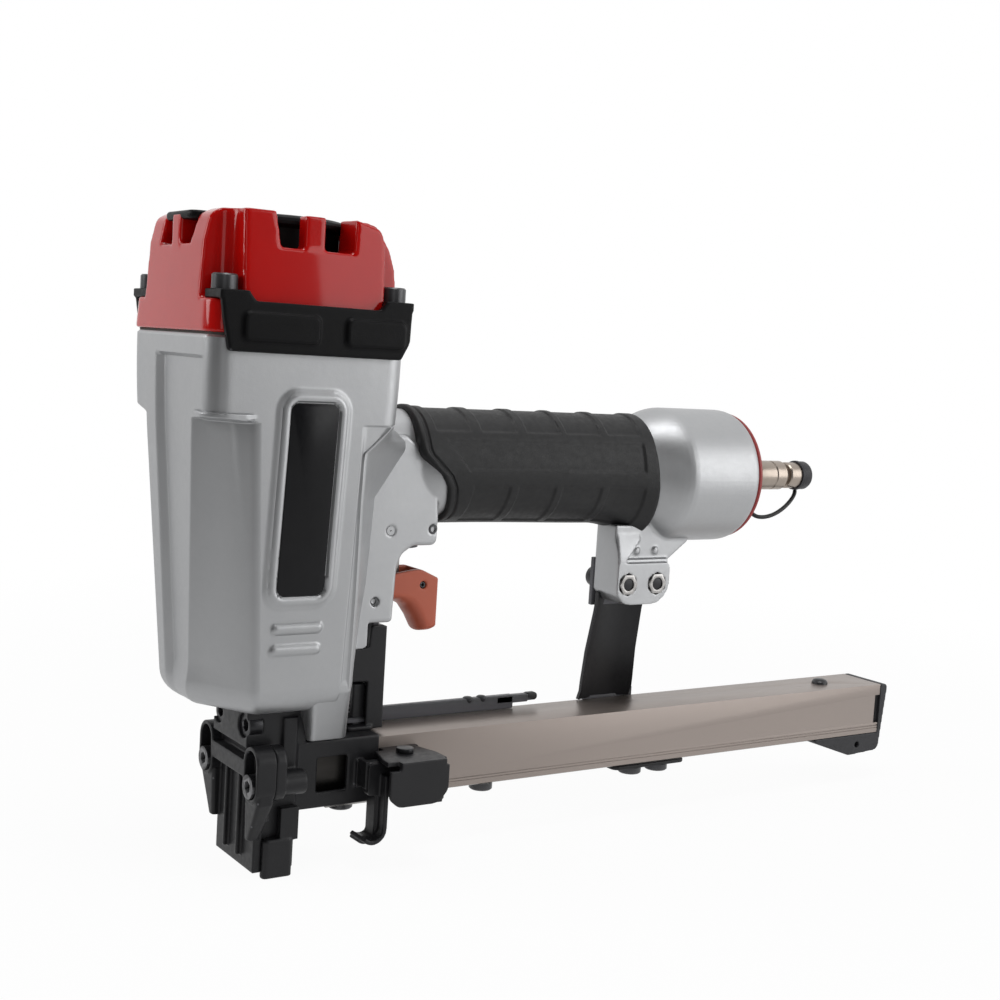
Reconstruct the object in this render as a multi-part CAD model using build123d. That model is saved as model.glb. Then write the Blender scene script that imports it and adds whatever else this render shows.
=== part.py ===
from build123d import *
from math import atan, cos, radians, sin
import os

# Pneumatic stapler with a rear-loading magazine, in millimetres.
# +X runs from the driver to the rear, +Y to the tool's right, +Z up.
# The origin is the centre of the driver's outlet at the nose tip.

# Clearances
SLIDE = 0.4            # flat faces that slide past each other
PLAY = 0.3             # curved faces of moving neighbours
RUN = 0.06             # radial running fit of a pin or a stem
SEAT = 0.05            # gap round a fixed piece in its seat

# Fasteners
SCREW_D = 5.0
SCREW_HEAD_D = 8.5
SCREW_HEAD_H = 5.0
SOCKET_FLATS = 4.0
SOCKET_DEPTH = 2.5
NUT_FLATS = 8.0
NUT_H = 4.6
NUT_SINK = 4.0

# Driver, piston and cylinder
BLADE_W = 16.0
BLADE_T = 1.6
CHANNEL_PLAY = 0.2
STROKE = 45.0
BORE_D = 40.0
SLEEVE_WALL = 2.5
SLEEVE_LEN = 84.0
SLEEVE_DROP = 4.0
SLEEVE_SEAT_H = 14.0
SEAL_WIRE = 1.7
SEAL_PITCH = 6.0
PISTON_H = 12.0
PISTON_DROP = 3.0
PISTON_BOSS_D = 20.0
PISTON_BOSS_H = 10.0
PISTON_RING_W = 3.0
PISTON_RING_T = 2.0
DRIVER_PIN_D = 4.0
BUMPER_HOLE_PLAY = 2.0

# Head valve
HEAD_D = 48.0
HEAD_H = 12.0
HEAD_SEAL_H = 2.0
HEAD_LIFT = 4.5
HEAD_HEADROOM = 3.5
HEAD_SPRING_D = 26.0
HEAD_SPRING_WIRE = 2.0
HEAD_RECESS = 8.0

# Housing body
CHAMBER_D = 58.0
FLANGE_X = 36.5
FLANGE_Y = 36.4
FLANGE_R = 6.0
FLANGE_H = 28.0
FLANGE_CHAMFER = 2.5
BODY_BOTTOM = 58.0
BODY_ROUND = 8.0
BODY_H = 130.0
BODY_TAPER_TOP = 18.0
BODY_TOP_FRONT = 36.5
BODY_TOP_REAR = 36.0
BODY_TOP_Y = 36.3
BODY_TOP_CORNER = (11.0, 20.0)
BODY_LOW_FRONT = 28.0
BODY_LOW_REAR = 30.0
BODY_LOW_Y = 27.6
BODY_LOW_CORNER = (9.0, 15.0)
PANEL_DEPTH = 1.5
PANEL_FAR_Y = 9.0
PANEL_NEAR_Y = -28.0
PANEL_LOW = 18.0
PANEL_DROP = 8.0
TAIL_FRONT = 15.3
TAIL_REAR = 30.0
TAIL_Y = 17.0
TAIL_H = 12.4

# Label place and the two ribs under it
LABEL_X = 2.0
LABEL_DROP = 52.0
LABEL_W = 18.6
LABEL_L = 69.0
LABEL_T = 0.8
LABEL_R = 3.0
RIM_W = 3.5
RIM_H = 1.2
RIB_DROP = 44.5
RIB_PITCH = 8.0
RIB_L = 19.0
RIB_W = 3.6
RIB_H = 1.0

# Cap, gasket, deflector and guards
GASKET_T = 0.8
GASKET_INSET = 1.0
CAP_H = 40.4
CAP_LOW_X = 37.0
CAP_LOW_Y = 36.5
CAP_TOP_X = 34.5
CAP_TOP_Y = 33.4
CAP_R = 8.0
CAP_REAR_SLOPE = ((14.5, 0.0), (1.5, 9.0), (-2.5, 25.0))
CAP_FRONT_SLOPE = (4.0, 9.0)
CAP_SCREW_X = 31.0
CAP_SCREW_Y = 32.0
CAP_SCREW_L = 32.0
POCKET_R = 8.5
POCKET_RISE = 10.8
WELL_D = 52.0
WELL_WEB = 6.0
NOTCH_W = 25.0
NOTCH_DEPTH = 11.0
PILLAR_W = 8.0
PILLAR_T = 5.0
DOME_RISE = 5.0
DOME_PROUD = 2.0
GUARD_T = 2.5
GUARD_DROP = 5.8
GUARD_TOP_X = 34.5
GUARD_LOW_X = 30.5
GUARD_EAR_T = 3.0
GUARD_EAR_R = 6.2
GUARD_END_Z = 6.0
GUARD_PAD_H = 1.4
GUARD_PAD_R = 2.0
GUARD_PAD_TALL = 9.2
GUARD_PAD_RISE = 8.2
GUARD_PADS = ((-13.5, 27.0), (21.0, 22.5))

# Handle, grip and air inlet
HANDLE_DROP = 44.0
CORE_Y = 16.0
CORE_Z = 19.0
CORE_BORE_Y = 10.0
CORE_BORE_Z = 13.0
GRIP_T = 3.1
GRIP_TOP_X = 56.0
GRIP_LOW_X = 75.0
GRIP_REAR_X = 166.0
GRIP_FLARE_L = 18.0
GRIP_FLARE = 3.0
BULGE_START_INSET = 1.0
BULGE_DROP = 3.0
BULGE_R = 28.0
BULGE_START_X = 158.0
BULGE_FULL_X = 184.0
BULGE_END_X = 214.0
BULGE_LIP = 2.0
END_BORE_D = 44.0
END_BORE_L = 16.0
RING_T = 2.0
RING_PROUD = 0.8
END_CAP_T = 4.0
PLUG_THREAD_D = 11.0
PLUG_THREAD_L = 12.0
PLUG_HEX = 15.0
PLUG_HEX_L = 9.0
PLUG_D = 12.8
PLUG_SEAT_D = 11.8
PLUG_COLLAR_L = 18.8
PLUG_GROOVE_D = 9.0
PLUG_GROOVE_L = 3.0
PLUG_TIP_D = 11.6
PLUG_TIP_L = 9.5
PLUG_BORE_D = 7.0
DUST_CAP_D = 13.2
DUST_CAP_OVERLAP = 3.5
DUST_CAP_END = 2.5
STRAP_D = 1.8
STRAP_SAG = 16.0
STRAP_SIDE = -6.0
STRAP_COLLAR_L = 2.6
STRAP_COLLAR_T = 0.7

# Neck, trigger and trigger valve
NECK_Y = 15.0
LUG_DROP = 8.0
LUG_REAR = 49.0
LUG_STEP = 4.0
THROAT_DROP = 2.0
CHIN_ROUND = 2.0
CHIN_DROP = 29.0
CHIN_REAR = 68.0
TRIGGER_Y = 10.2
TRIGGER_WALL = 2.3
TRIGGER_BROW = ((-3.0, 4.5), (8.0, 9.5))
TRIGGER_TOP = ((-1.0, 5.0), (5.0, 3.0))
TRIGGER_FINGER = ((2.6, -16.0), (-1.5, -16.0), (-5.5, -9.0), (-11.0, -5.5))
TRIGGER_CHIN = ((3.0, -4.2), (-3.0, -4.2))
TRIGGER_FLOOR = 7.0
PIVOT_X = 40.0
PIVOT_DROP = 20.0
PIVOT_D = 5.0
PIVOT_BOSS_R = 5.2
LEVER_X = 65.0
LEVER_EYE_D = 5.0
LEVER_RISE = 4.0
LEVER_PIN_D = 3.0
LEVER_T = 3.0
LEVER_Y = 4.0
LEVER_FRONT_X = 45.5
VALVE_X = 55.0
VALVE_D = 18.0
VALVE_L = 24.5
VALVE_PROUD = 1.5
STEM_D = 5.0
STEM_GAP = 1.5
STEM_HEAD_D = 9.0
STEM_HEAD_H = 3.0
STEM_HEAD_RISE = 5.0
VALVE_PIN_D = 4.0
VALVE_PIN_RISE = 6.0
VALVE_PIN_BITE = 1.0

# Magazine
COVER_FRONT = 46.0
COVER_L = 270.6
COVER_Y = 11.65
COVER_TOP = 43.4
COVER_BOTTOM = 20.5
COVER_WALL = 1.6
COVER_SLOT_Y = 5.0
SEAM_Z = 23.8
SEAM_D = 0.4
END_SLOT_L = 3.0
END_SLOT_Z = (3.0, 5.0)
RAIL_Y = 6.2
RAIL_TOP = 39.2
RAIL_END_GAP = 4.0
RAIL_GROOVE_Y = 2.7
RAIL_GROOVE_D = 5.4
BAR_Y = 3.4
BAR_BOTTOM = 17.4
BAR_FRONT = 28.0
BAR_FLANGE_Y = 7.5
RAIL_SCREW_X = (38.0, 101.0)
RAIL_SCREW_BITE = 7.0
PUSHER_REAR = 70.0
PUSHER_FRONT_GAP = 2.0
PUSHER_STEP = 2.0
PUSHER_LIFT = 2.0
PUSHER_TONGUE_L = 12.0
PUSHER_SPRING_D = 4.4
PUSHER_SPRING_WIRE = 0.8
END_CAP_WALL = 3.4
END_CAP_Y = 11.9
END_PLUG_L = 10.6
END_FOOT_L = 44.5
END_FOOT_SLOPE = 23.0
END_FOOT_H = 9.5
END_FOOT_ROUND = (2.0, 1.4)
END_TONGUE_L = 26.0
END_TONGUE_T = 1.9
COVER_SCREW_BACK = 28.6
COVER_SCREW_D = 4.0
COVER_SCREW_HEAD_D = 7.0
COVER_SCREW_HEAD_H = 2.0
STRIP_L = 91.3
STRIP_W = 3.2
STRIP_H = 3.8
STRIP_LAP = 6.0
STRIP_TAB_L = 5.0
STRIP_TAB_T = 1.6

# Nose
NOSE_Y = 14.6
NOSE_REAR = 12.0
PLATE_T = 3.3
PLATE_Y = 16.2
SHOULDER_Y = 21.0
SHOULDER_Z = 20.0
PLATE_TOP = 45.0
PLATE_RIB_Y = 5.5
PLATE_RIB_W = 1.6
PLATE_RIB_H = 2.0
PLATE_RIB_LOW = 4.0
PLATE_RIB_LAP = 3.0
EAR_FRONT = 8.5
EAR_Y = 19.7
EAR_Z = 32.9
EAR_R = 6.0
EAR_SLOT_H = 8.0
EAR_BRIDGE_Z = 2.0
WING_T = 4.0
WING_DROP = 4.0
BOSS_D = 9.0
BOSS_WEB = 5.0
NOSE_SCREW_END = 1.0
CHEEK_Y = 14.0
CHEEK_T = 2.0
CHEEK_BOTTOM = 20.0
CHEEK_TOP = 45.0
NOSE_ROOF_T = 2.0
NOSE_FLOOR_T = 2.0
NOSE_FLOOR_LAP = 8.0
STAPLE_GAP = 0.3
STAPLE_LOW_Z = 12.0
WINDOW_X = (20.6, 32.7)
WINDOW_Z = (25.8, 38.6)
BRACKET_FRONT = 8.0
BRACKET_SCREW_Y = 11.0
BRACKET_SCREW_RISE = 7.5
BRACKET_SCREW_SINK = 1.0
BRACKET_SCREW_END = 3.0
SPIGOT_X = (-5.0, 8.0)
SPIGOT_Y = 12.0
SPIGOT_H = 12.0
CATCH_X = (36.0, 39.0)
CATCH_Z = (26.5, 36.5)
CATCH_H = 1.4
UPRIGHT_X = (5.5, 11.0)
UPRIGHT_Y = 16.0
UPRIGHT_TOP = 55.0

# Contact foot, arm and guide
FOOT_PROUD = 2.0
FOOT_T = 3.0
FOOT_REAR = 10.0
FOOT_TOP = 12.0
FOOT_ARM_X = (5.0, 12.0)
FOOT_ARM_TOP = 23.0
FOOT_BAR_X = (4.5, 8.5)
FOOT_BAR_Z = (2.5, 7.5)
ARM_T = 2.0
ARM_X = (31.5, 37.0)
ARM_W = 4.5
ARM_SHELF_Z = 47.4
ARM_Y = 4.0
ARM_POST_X = (45.8, 48.3)
GUIDE_Y = 6.2
GUIDE_T = 1.6
GUIDE_REAR = 51.4
GUIDE_GAP = 2.5
GUIDE_STEP = 7.5
GUIDE_FRONT = 36.0
GUIDE_WINDOW_X = 41.0
GUIDE_WINDOW_Z = (55.0, 60.0)
CONTACT_SPRING_D = 6.0
CONTACT_SPRING_WIRE = 1.0
CONTACT_SPRING_X = 42.0
CONTACT_SPRING_L = 9.0

# Latch on the cover's left side
LATCH_X = (41.0, 63.0)
LATCH_CORNER_R = 4.0
LATCH_OUT_Y = 34.0
LATCH_Z = (22.8, 39.4)
LATCH_T = 1.5
LATCH_BASE_X = (46.6, 66.0)
LATCH_PIN_X = 52.8
LATCH_PIN_Y = -20.5
LATCH_PIN_D = 4.0
LATCH_PIN_HEAD_D = 6.6
LATCH_PIN_HEAD_H = 1.8
LEVER_HUB_D = 9.0
LEVER_ARM_T = 3.0
LATCH_TOOTH_T = 2.0
TAIL_STRIP_X = 42.4
TAIL_STRIP_T = 2.0
TAIL_STRIP_W = 6.6
TAIL_STRIP_LOW = 12.0
TAIL_CURL_R = 3.0
LATCH_SPRING_H = 3.0

# Strut behind the magazine and its lug under the handle
STRUT_LUG_NEAR = -14.0
STRUT_LUG_FAR = 2.0
STRUT_LUG_DROP = 52.5
STRUT_LUG_FRONT = 5.6
STRUT_LUG_CORNER = 6.5
STRUT_LUG_REAR = 6.5
STRUT_LUG_SHOULDER = 10.0
STRUT_LUG_BITE = 3.0
STRUT_BOLT_X = (157.9, 173.0)
STRUT_BOLT_RISE = 8.5
STRUT_T = 2.5
STRUT_X = (160.0, 185.5)
STRUT_TOP_X = 177.0
STRUT_TAB_X = (152.0, 177.0)
STRUT_TAB_RISE = 9.0
STRUT_BEND_RISE = 0.5
STRUT_LOW_BEND_RISE = 3.1
STRUT_GAP = 0.6
STRUT_FLANGE = 5.0
STRUT_FOOT_T = 1.6
STRUT_FOOT_X = (165.0, 204.0)
STRUT_FOOT_Y = -5.0
FOOT_SCREW_X = (177.0, 191.5)

# Values that follow from the sizes above
CHANNEL_X = BLADE_T / 2 + CHANNEL_PLAY
CHANNEL_Y = BLADE_W / 2 + CHANNEL_PLAY
FLANGE_Z = BODY_BOTTOM + BODY_H
FLANGE_BOTTOM = FLANGE_Z - FLANGE_H
BODY_TOP_Z = FLANGE_Z - BODY_TAPER_TOP
PANEL_LOW_Z = BODY_BOTTOM + PANEL_LOW
PANEL_TOP_Z = FLANGE_Z - PANEL_DROP
TAIL_BOTTOM = BODY_BOTTOM - TAIL_H
LABEL_Z = FLANGE_Z - LABEL_DROP
RIB_Z = LABEL_Z - RIB_DROP
SLEEVE_OD = BORE_D + 2 * SLEEVE_WALL
SLEEVE_TOP = FLANGE_Z - SLEEVE_DROP
SLEEVE_FLOOR = SLEEVE_TOP - SLEEVE_LEN
PISTON_TOP = SLEEVE_TOP - PISTON_DROP
PISTON_BOTTOM = PISTON_TOP - PISTON_H
BOSS_BOTTOM = PISTON_BOTTOM - PISTON_BOSS_H
BLADE_TOP = PISTON_BOTTOM - 2.0
DRIVER_PIN_Z = PISTON_BOTTOM - PISTON_BOSS_H / 2
HEAD_BOTTOM = SLEEVE_TOP + SEAT + HEAD_SEAL_H + SEAT
HEAD_TOP = HEAD_BOTTOM + HEAD_H
CAP_Z = FLANGE_Z + GASKET_T
CAP_TOP = CAP_Z + CAP_H
CAP_CEILING = HEAD_TOP + HEAD_LIFT + HEAD_HEADROOM
WELL_Z = CAP_CEILING + WELL_WEB
POCKET_Z = CAP_Z + POCKET_RISE
GUARD_BOTTOM = CAP_Z - GUARD_DROP
GUARD_IN = CAP_LOW_Y + SLIDE
EAR_TOP = POCKET_Z + GUARD_EAR_T
HANDLE_Z = FLANGE_Z - HANDLE_DROP
BULGE_Z = HANDLE_Z - BULGE_DROP
GRIP_Y = CORE_Y + GRIP_T
GRIP_Z = CORE_Z + GRIP_T
PLUG_START = BULGE_END_X + RING_T + END_CAP_T
PLUG_NECK = PLUG_START + PLUG_HEX_L
PLUG_COLLAR = PLUG_NECK + STRAP_COLLAR_L + 2 * PLAY
PLUG_GROOVE = PLUG_COLLAR + PLUG_COLLAR_L
PLUG_TIP = PLUG_GROOVE + PLUG_GROOVE_L
PLUG_END = PLUG_TIP + PLUG_TIP_L
DUST_START = PLUG_END - DUST_CAP_OVERLAP
CHIN_Z = HANDLE_Z - CHIN_DROP
PIVOT_Z = CHIN_Z - PIVOT_DROP
LUG_BOTTOM = PIVOT_Z - LUG_DROP
LEVER_Z = PIVOT_Z + LEVER_RISE
TRIGGER_SLOT_Y = TRIGGER_Y + PLAY
STEM_BOTTOM = LEVER_Z + LEVER_T / 2 + STEM_GAP
VALVE_BOTTOM = CHIN_Z - VALVE_PROUD
VALVE_TOP = VALVE_BOTTOM + VALVE_L
VALVE_PIN_Z = CHIN_Z + VALVE_PIN_RISE
STEM_HEAD_Z = VALVE_PIN_Z + STEM_HEAD_RISE
PIN_OFFSET = VALVE_D / 2 + VALVE_PIN_D / 2 - VALVE_PIN_BITE
COVER_END = COVER_FRONT + COVER_L
END_CAP_REAR = COVER_END + END_CAP_WALL
END_CAP_PLUG = COVER_END - END_PLUG_L
END_FOOT_FRONT = END_CAP_REAR - END_FOOT_L
END_FOOT_LOW_X = END_FOOT_FRONT + END_FOOT_SLOPE
END_FOOT_Z = COVER_BOTTOM - END_FOOT_H
END_TONGUE_X = END_CAP_PLUG - END_TONGUE_L
RAIL_END = END_CAP_PLUG - RAIL_END_GAP
COVER_SCREW_X = COVER_END - COVER_SCREW_BACK
COVER_IN_Y = COVER_Y - COVER_WALL
COVER_IN_TOP = COVER_TOP - COVER_WALL - 0.2
LIP_TOP = COVER_BOTTOM + COVER_WALL
RAIL_BOTTOM = LIP_TOP + SLIDE
NOSE_END = COVER_FRONT - PLAY
STRIP_END = NOSE_END + STRIP_L
SPIGOT_TOP = BODY_BOTTOM + SPIGOT_H
BRACKET_SCREW_Z = CHEEK_TOP + BRACKET_SCREW_RISE
FOOT_IN = NOSE_Y + SLIDE
FOOT_OUT = FOOT_IN + FOOT_T
GUIDE_BOTTOM = CHEEK_TOP
GUIDE_TOP = LUG_BOTTOM - GUIDE_GAP
GUIDE_STEP_TOP = GUIDE_TOP - GUIDE_STEP
STRUT_LUG_BOTTOM = BULGE_Z - STRUT_LUG_DROP
STRUT_BOLT_Z = STRUT_LUG_BOTTOM + STRUT_BOLT_RISE
STRUT_TOP = STRUT_BOLT_Z + STRUT_TAB_RISE
STRUT_BEND_Z = STRUT_LUG_BOTTOM + STRUT_BEND_RISE
STRUT_LOW_BEND_Z = COVER_TOP + STRUT_LOW_BEND_RISE
STRUT_IN = COVER_Y + STRUT_GAP
SPRING_TAB_Z = ARM_SHELF_Z + ARM_T + CONTACT_SPRING_L


# Shared shapes

def box(x, y, z):
    """Block between two limits on each axis."""
    mid = [(a + b) / 2 for a, b in (x, y, z)]
    size = [abs(b - a) for a, b in (x, y, z)]
    return Pos(*mid) * Box(*size)


def both_sides(solid):
    """A solid together with its mirror image across the centre plane."""
    return [solid, mirror(solid, about=Plane.XZ)]


def rod_x(y, z, x, d):
    """Round bar along X."""
    return Pos((x[0] + x[1]) / 2, y, z) * Rot(0, 90, 0) * Cylinder(d / 2, x[1] - x[0])


def rod_y(x, z, y, d):
    """Round bar along Y."""
    return Pos(x, (y[0] + y[1]) / 2, z) * Rot(90, 0, 0) * Cylinder(d / 2, y[1] - y[0])


def rod_z(x, y, z, d):
    """Round bar along Z."""
    return Pos(x, y, (z[0] + z[1]) / 2) * Cylinder(d / 2, z[1] - z[0])


def tube_z(z, outer_d, inner_d, x=0.0, y=0.0):
    """Ring along Z."""
    hole = rod_z(x, y, (z[0] - 1, z[1] + 1), inner_d)
    return rod_z(x, y, z, outer_d) - hole


def side_plate(points, y):
    """Outline in X and Z, given a thickness along Y."""
    plane = Plane(origin=(0, y[1], 0), x_dir=(1, 0, 0), z_dir=(0, -1, 0))
    return extrude(plane * Polygon(*points, align=None), y[1] - y[0], dir=(0, -1, 0))


def cross_plate(points, x):
    """Outline in Y and Z, given a length along X."""
    plane = Plane(origin=(x[0], 0, 0), x_dir=(0, 1, 0), z_dir=(1, 0, 0))
    return extrude(plane * Polygon(*points, align=None), x[1] - x[0], dir=(1, 0, 0))


def cross_section(x):
    """Plane across the tool at one place along X, with local axes Y and Z."""
    return Plane(origin=(x, 0, 0), x_dir=(0, 1, 0), z_dir=(1, 0, 0))


def socket_screw(length):
    """Socket-head screw along -Z, its head's seat at the origin."""
    head = rod_z(0, 0, (0, SCREW_HEAD_H), SCREW_HEAD_D)
    hexagon = RegularPolygon(SOCKET_FLATS / 2, 6, major_radius=False)
    socket = Pos(0, 0, SCREW_HEAD_H - SOCKET_DEPTH) * extrude(hexagon, SOCKET_DEPTH + 1)
    return head - socket + rod_z(0, 0, (-length, 0), SCREW_D)


def along_x(solid):
    """Turn a piece that points along +Z to point along -X."""
    return Rot(0, -90, 0) * solid


# Cylinder group

def cylinder_sleeve():
    sleeve = tube_z((SLEEVE_FLOOR, SLEEVE_TOP), SLEEVE_OD, BORE_D)
    for z in seal_heights():
        groove = tube_z((z - SEAL_WIRE / 2 - SEAT, z + SEAL_WIRE / 2 + SEAT),
                        SLEEVE_OD + 1, SLEEVE_OD - 2 * SEAL_WIRE)
        sleeve -= groove
    return sleeve


def seal_heights():
    """Heights of the two seal grooves in the sleeve's seat."""
    low = SLEEVE_FLOOR + (SLEEVE_SEAT_H - SEAL_PITCH) / 2
    return (low, low + SEAL_PITCH)


def cylinder_seals():
    ring_r = SLEEVE_OD / 2 - SEAL_WIRE / 2
    return [Pos(0, 0, z) * Torus(ring_r, SEAL_WIRE / 2 - SEAT / 2) for z in seal_heights()]


def piston_bumper():
    top = PISTON_BOTTOM - STROKE - PLAY
    return tube_z((SLEEVE_FLOOR, top), BORE_D - 2 * SEAT, PISTON_BOSS_D + 2 * BUMPER_HOLE_PLAY)


def piston():
    body = rod_z(0, 0, (PISTON_BOTTOM, PISTON_TOP), BORE_D - 2 * PLAY)
    body += rod_z(0, 0, (BOSS_BOTTOM, PISTON_BOTTOM), PISTON_BOSS_D)
    body -= piston_ring_space(SEAT)
    body -= box((-BLADE_T / 2 - SEAT, BLADE_T / 2 + SEAT), (-BLADE_W / 2 - SEAT, BLADE_W / 2 + SEAT),
                (BOSS_BOTTOM - 1, BLADE_TOP + SEAT))
    return body - rod_x(0, DRIVER_PIN_Z, (-PISTON_BOSS_D, PISTON_BOSS_D), DRIVER_PIN_D + 2 * SEAT)


def piston_ring_space(gap):
    """Ring round the piston, grown by a gap."""
    mid = (PISTON_BOTTOM + PISTON_TOP) / 2
    height = (mid - PISTON_RING_W / 2 - gap, mid + PISTON_RING_W / 2 + gap)
    outer = BORE_D - 2 * RUN
    return tube_z(height, outer + 2 * gap, outer - 2 * PISTON_RING_T - 2 * gap)


def driver_blade():
    blade = box((-BLADE_T / 2, BLADE_T / 2), (-BLADE_W / 2, BLADE_W / 2), (STROKE, BLADE_TOP))
    return blade - rod_x(0, DRIVER_PIN_Z, (-BLADE_W, BLADE_W), DRIVER_PIN_D + 2 * SEAT)


def driver_pin():
    half = PISTON_BOSS_D / 2 - 1.0
    return rod_x(0, DRIVER_PIN_Z, (-half, half), DRIVER_PIN_D)


def head_valve():
    body = rod_z(0, 0, (HEAD_BOTTOM, HEAD_TOP), HEAD_D)
    recess = rod_z(0, 0, (HEAD_TOP - HEAD_RECESS, HEAD_TOP + 1), HEAD_SPRING_D + 2 * PLAY)
    return body - recess


def head_valve_seal():
    low = SLEEVE_TOP + SEAT
    return tube_z((low, low + HEAD_SEAL_H), SLEEVE_OD + HEAD_SEAL_H, BORE_D - HEAD_SEAL_H)


def head_valve_spring():
    height = (HEAD_TOP - HEAD_RECESS + SEAT, CAP_CEILING - SEAT)
    return tube_z(height, HEAD_SPRING_D, HEAD_SPRING_D - 2 * HEAD_SPRING_WIRE)


# Housing

def octagon(front, rear, half_y, corner):
    """Plan of the housing's body: a rectangle with its corners cut."""
    in_x, in_y = corner
    return Polygon(
        (-front, -half_y + in_y), (-front, half_y - in_y),
        (-front + in_x, half_y), (rear - in_x, half_y),
        (rear, half_y - in_y), (rear, -half_y + in_y),
        (rear - in_x, -half_y), (-front + in_x, -half_y), align=None)


def body_half(z):
    """Half width of the body at a height."""
    low_z = BODY_BOTTOM + BODY_ROUND
    share = (z - low_z) / (BODY_TOP_Z - low_z)
    return BODY_LOW_Y + share * (BODY_TOP_Y - BODY_LOW_Y)


def side_plane(x, z):
    """Plane on the body's leaning left face, facing out, with local axes X and up."""
    angle = atan((BODY_TOP_Y - BODY_LOW_Y) / (BODY_TOP_Z - BODY_BOTTOM - BODY_ROUND))
    return Plane(origin=(x, -body_half(z), z), x_dir=(1, 0, 0), z_dir=(0, -cos(angle), -sin(angle)))


def body_shell():
    """Outer form of the cylinder body with its top flange."""
    inset = BODY_ROUND
    foot_corner = [size - inset / 2 for size in BODY_LOW_CORNER]
    foot = octagon(BODY_LOW_FRONT - inset, BODY_LOW_REAR - inset / 2, BODY_LOW_Y - inset, foot_corner)
    low = octagon(BODY_LOW_FRONT, BODY_LOW_REAR, BODY_LOW_Y, BODY_LOW_CORNER)
    top = octagon(BODY_TOP_FRONT, BODY_TOP_REAR, BODY_TOP_Y, BODY_TOP_CORNER)
    sections = [Pos(0, 0, BODY_BOTTOM) * foot, Pos(0, 0, BODY_BOTTOM + BODY_ROUND) * low,
                Pos(0, 0, BODY_TOP_Z) * top]
    body = loft(sections, ruled=True)
    plan = RectangleRounded(2 * FLANGE_X, 2 * FLANGE_Y, FLANGE_R)
    flange = Pos(0, 0, FLANGE_BOTTOM) * extrude(plan, FLANGE_Z - FLANGE_BOTTOM)
    flange = chamfer(flange.faces().sort_by(Axis.Z)[0].edges(), FLANGE_CHAMFER)
    return body + flange


def handle_core(gap):
    """Oval core of the handle under the grip, grown by a gap."""
    oval = Ellipse(CORE_Y + gap, CORE_Z + gap)
    return extrude(cross_section(TAIL_FRONT) * Pos(0, HANDLE_Z) * oval, BULGE_FULL_X - TAIL_FRONT)


def handle_bulge(gap):
    """Round swelling at the handle's rear end, grown by a gap."""
    start_r = CORE_Y - BULGE_START_INSET
    outline = Polyline(
        (BULGE_START_X, 0), (BULGE_START_X, start_r + gap), (BULGE_FULL_X, BULGE_R + gap),
        (BULGE_END_X - BULGE_LIP, BULGE_R + gap), (BULGE_END_X, BULGE_R - BULGE_LIP + gap),
        (BULGE_END_X, 0), close=True)
    plane = Plane(origin=(0, 0, BULGE_Z), x_dir=(1, 0, 0), z_dir=(0, -1, 0))
    axis = Axis((0, 0, BULGE_Z), (1, 0, 0))
    return revolve(plane * make_face(outline), axis, 360)


def neck():
    """Solid under the handle's front end: trigger lugs, chin and throat."""
    throat_z = HANDLE_Z + CORE_Z - THROAT_DROP
    slope = (GRIP_LOW_X - GRIP_TOP_X) / (2 * GRIP_Z)
    throat_x = GRIP_TOP_X + slope * (HANDLE_Z + GRIP_Z - throat_z) - SEAT
    chin_top = HANDLE_Z - GRIP_Z
    points = [
        (TAIL_FRONT, throat_z), (TAIL_FRONT, LUG_BOTTOM), (LUG_REAR, LUG_BOTTOM),
        (LUG_REAR, CHIN_Z - LUG_STEP), (LUG_REAR + LUG_STEP, CHIN_Z), (CHIN_REAR - CHIN_ROUND, CHIN_Z),
        (CHIN_REAR, CHIN_Z + CHIN_ROUND), (CHIN_REAR, chin_top), (GRIP_LOW_X - SEAT, chin_top),
        (throat_x, throat_z)]
    return side_plate(points, (-NECK_Y, NECK_Y))


def nut_seat(x):
    """Floor of the hexagonal pocket that holds a strut bolt's nut."""
    return Plane(origin=(x, STRUT_LUG_NEAR + NUT_SINK, STRUT_BOLT_Z), x_dir=(1, 0, 0), z_dir=(0, -1, 0))


def strut_lug():
    root_z = BULGE_Z - CORE_Z
    first, last = STRUT_BOLT_X
    front = first - STRUT_LUG_FRONT
    rear = BULGE_FULL_X + STRUT_LUG_CORNER
    corner_z = STRUT_LUG_BOTTOM + STRUT_LUG_CORNER
    points = [
        (front, root_z), (front, corner_z), (first, STRUT_LUG_BOTTOM), (last, STRUT_LUG_BOTTOM),
        (last + STRUT_LUG_CORNER, corner_z), (last + STRUT_LUG_REAR, STRUT_BOLT_Z + STRUT_LUG_SHOULDER),
        (rear, BULGE_Z - BULGE_R + STRUT_LUG_BITE), (rear, root_z)]
    return side_plate(points, (STRUT_LUG_NEAR, STRUT_LUG_FAR))


def label_seat():
    """Space for the label plate in front of the left face."""
    shape = RectangleRounded(LABEL_W + 2 * SEAT, LABEL_L + 2 * SEAT, LABEL_R)
    return extrude(side_plane(LABEL_X, LABEL_Z) * shape, 2 * RIM_H)


def side_features():
    """Rim round the label's place and the two ribs below it, on the left face."""
    outer = RectangleRounded(LABEL_W + 2 * RIM_W, LABEL_L + 2 * RIM_W, LABEL_R + RIM_W)
    rim = extrude(side_plane(LABEL_X, LABEL_Z) * outer, RIM_H)
    ribs = []
    for row in (0, 1):
        spot = side_plane(LABEL_X, RIB_Z - row * RIB_PITCH)
        ribs.append(extrude(spot * SlotOverall(RIB_L, RIB_W), RIB_H))
    return [rim] + ribs


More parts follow.
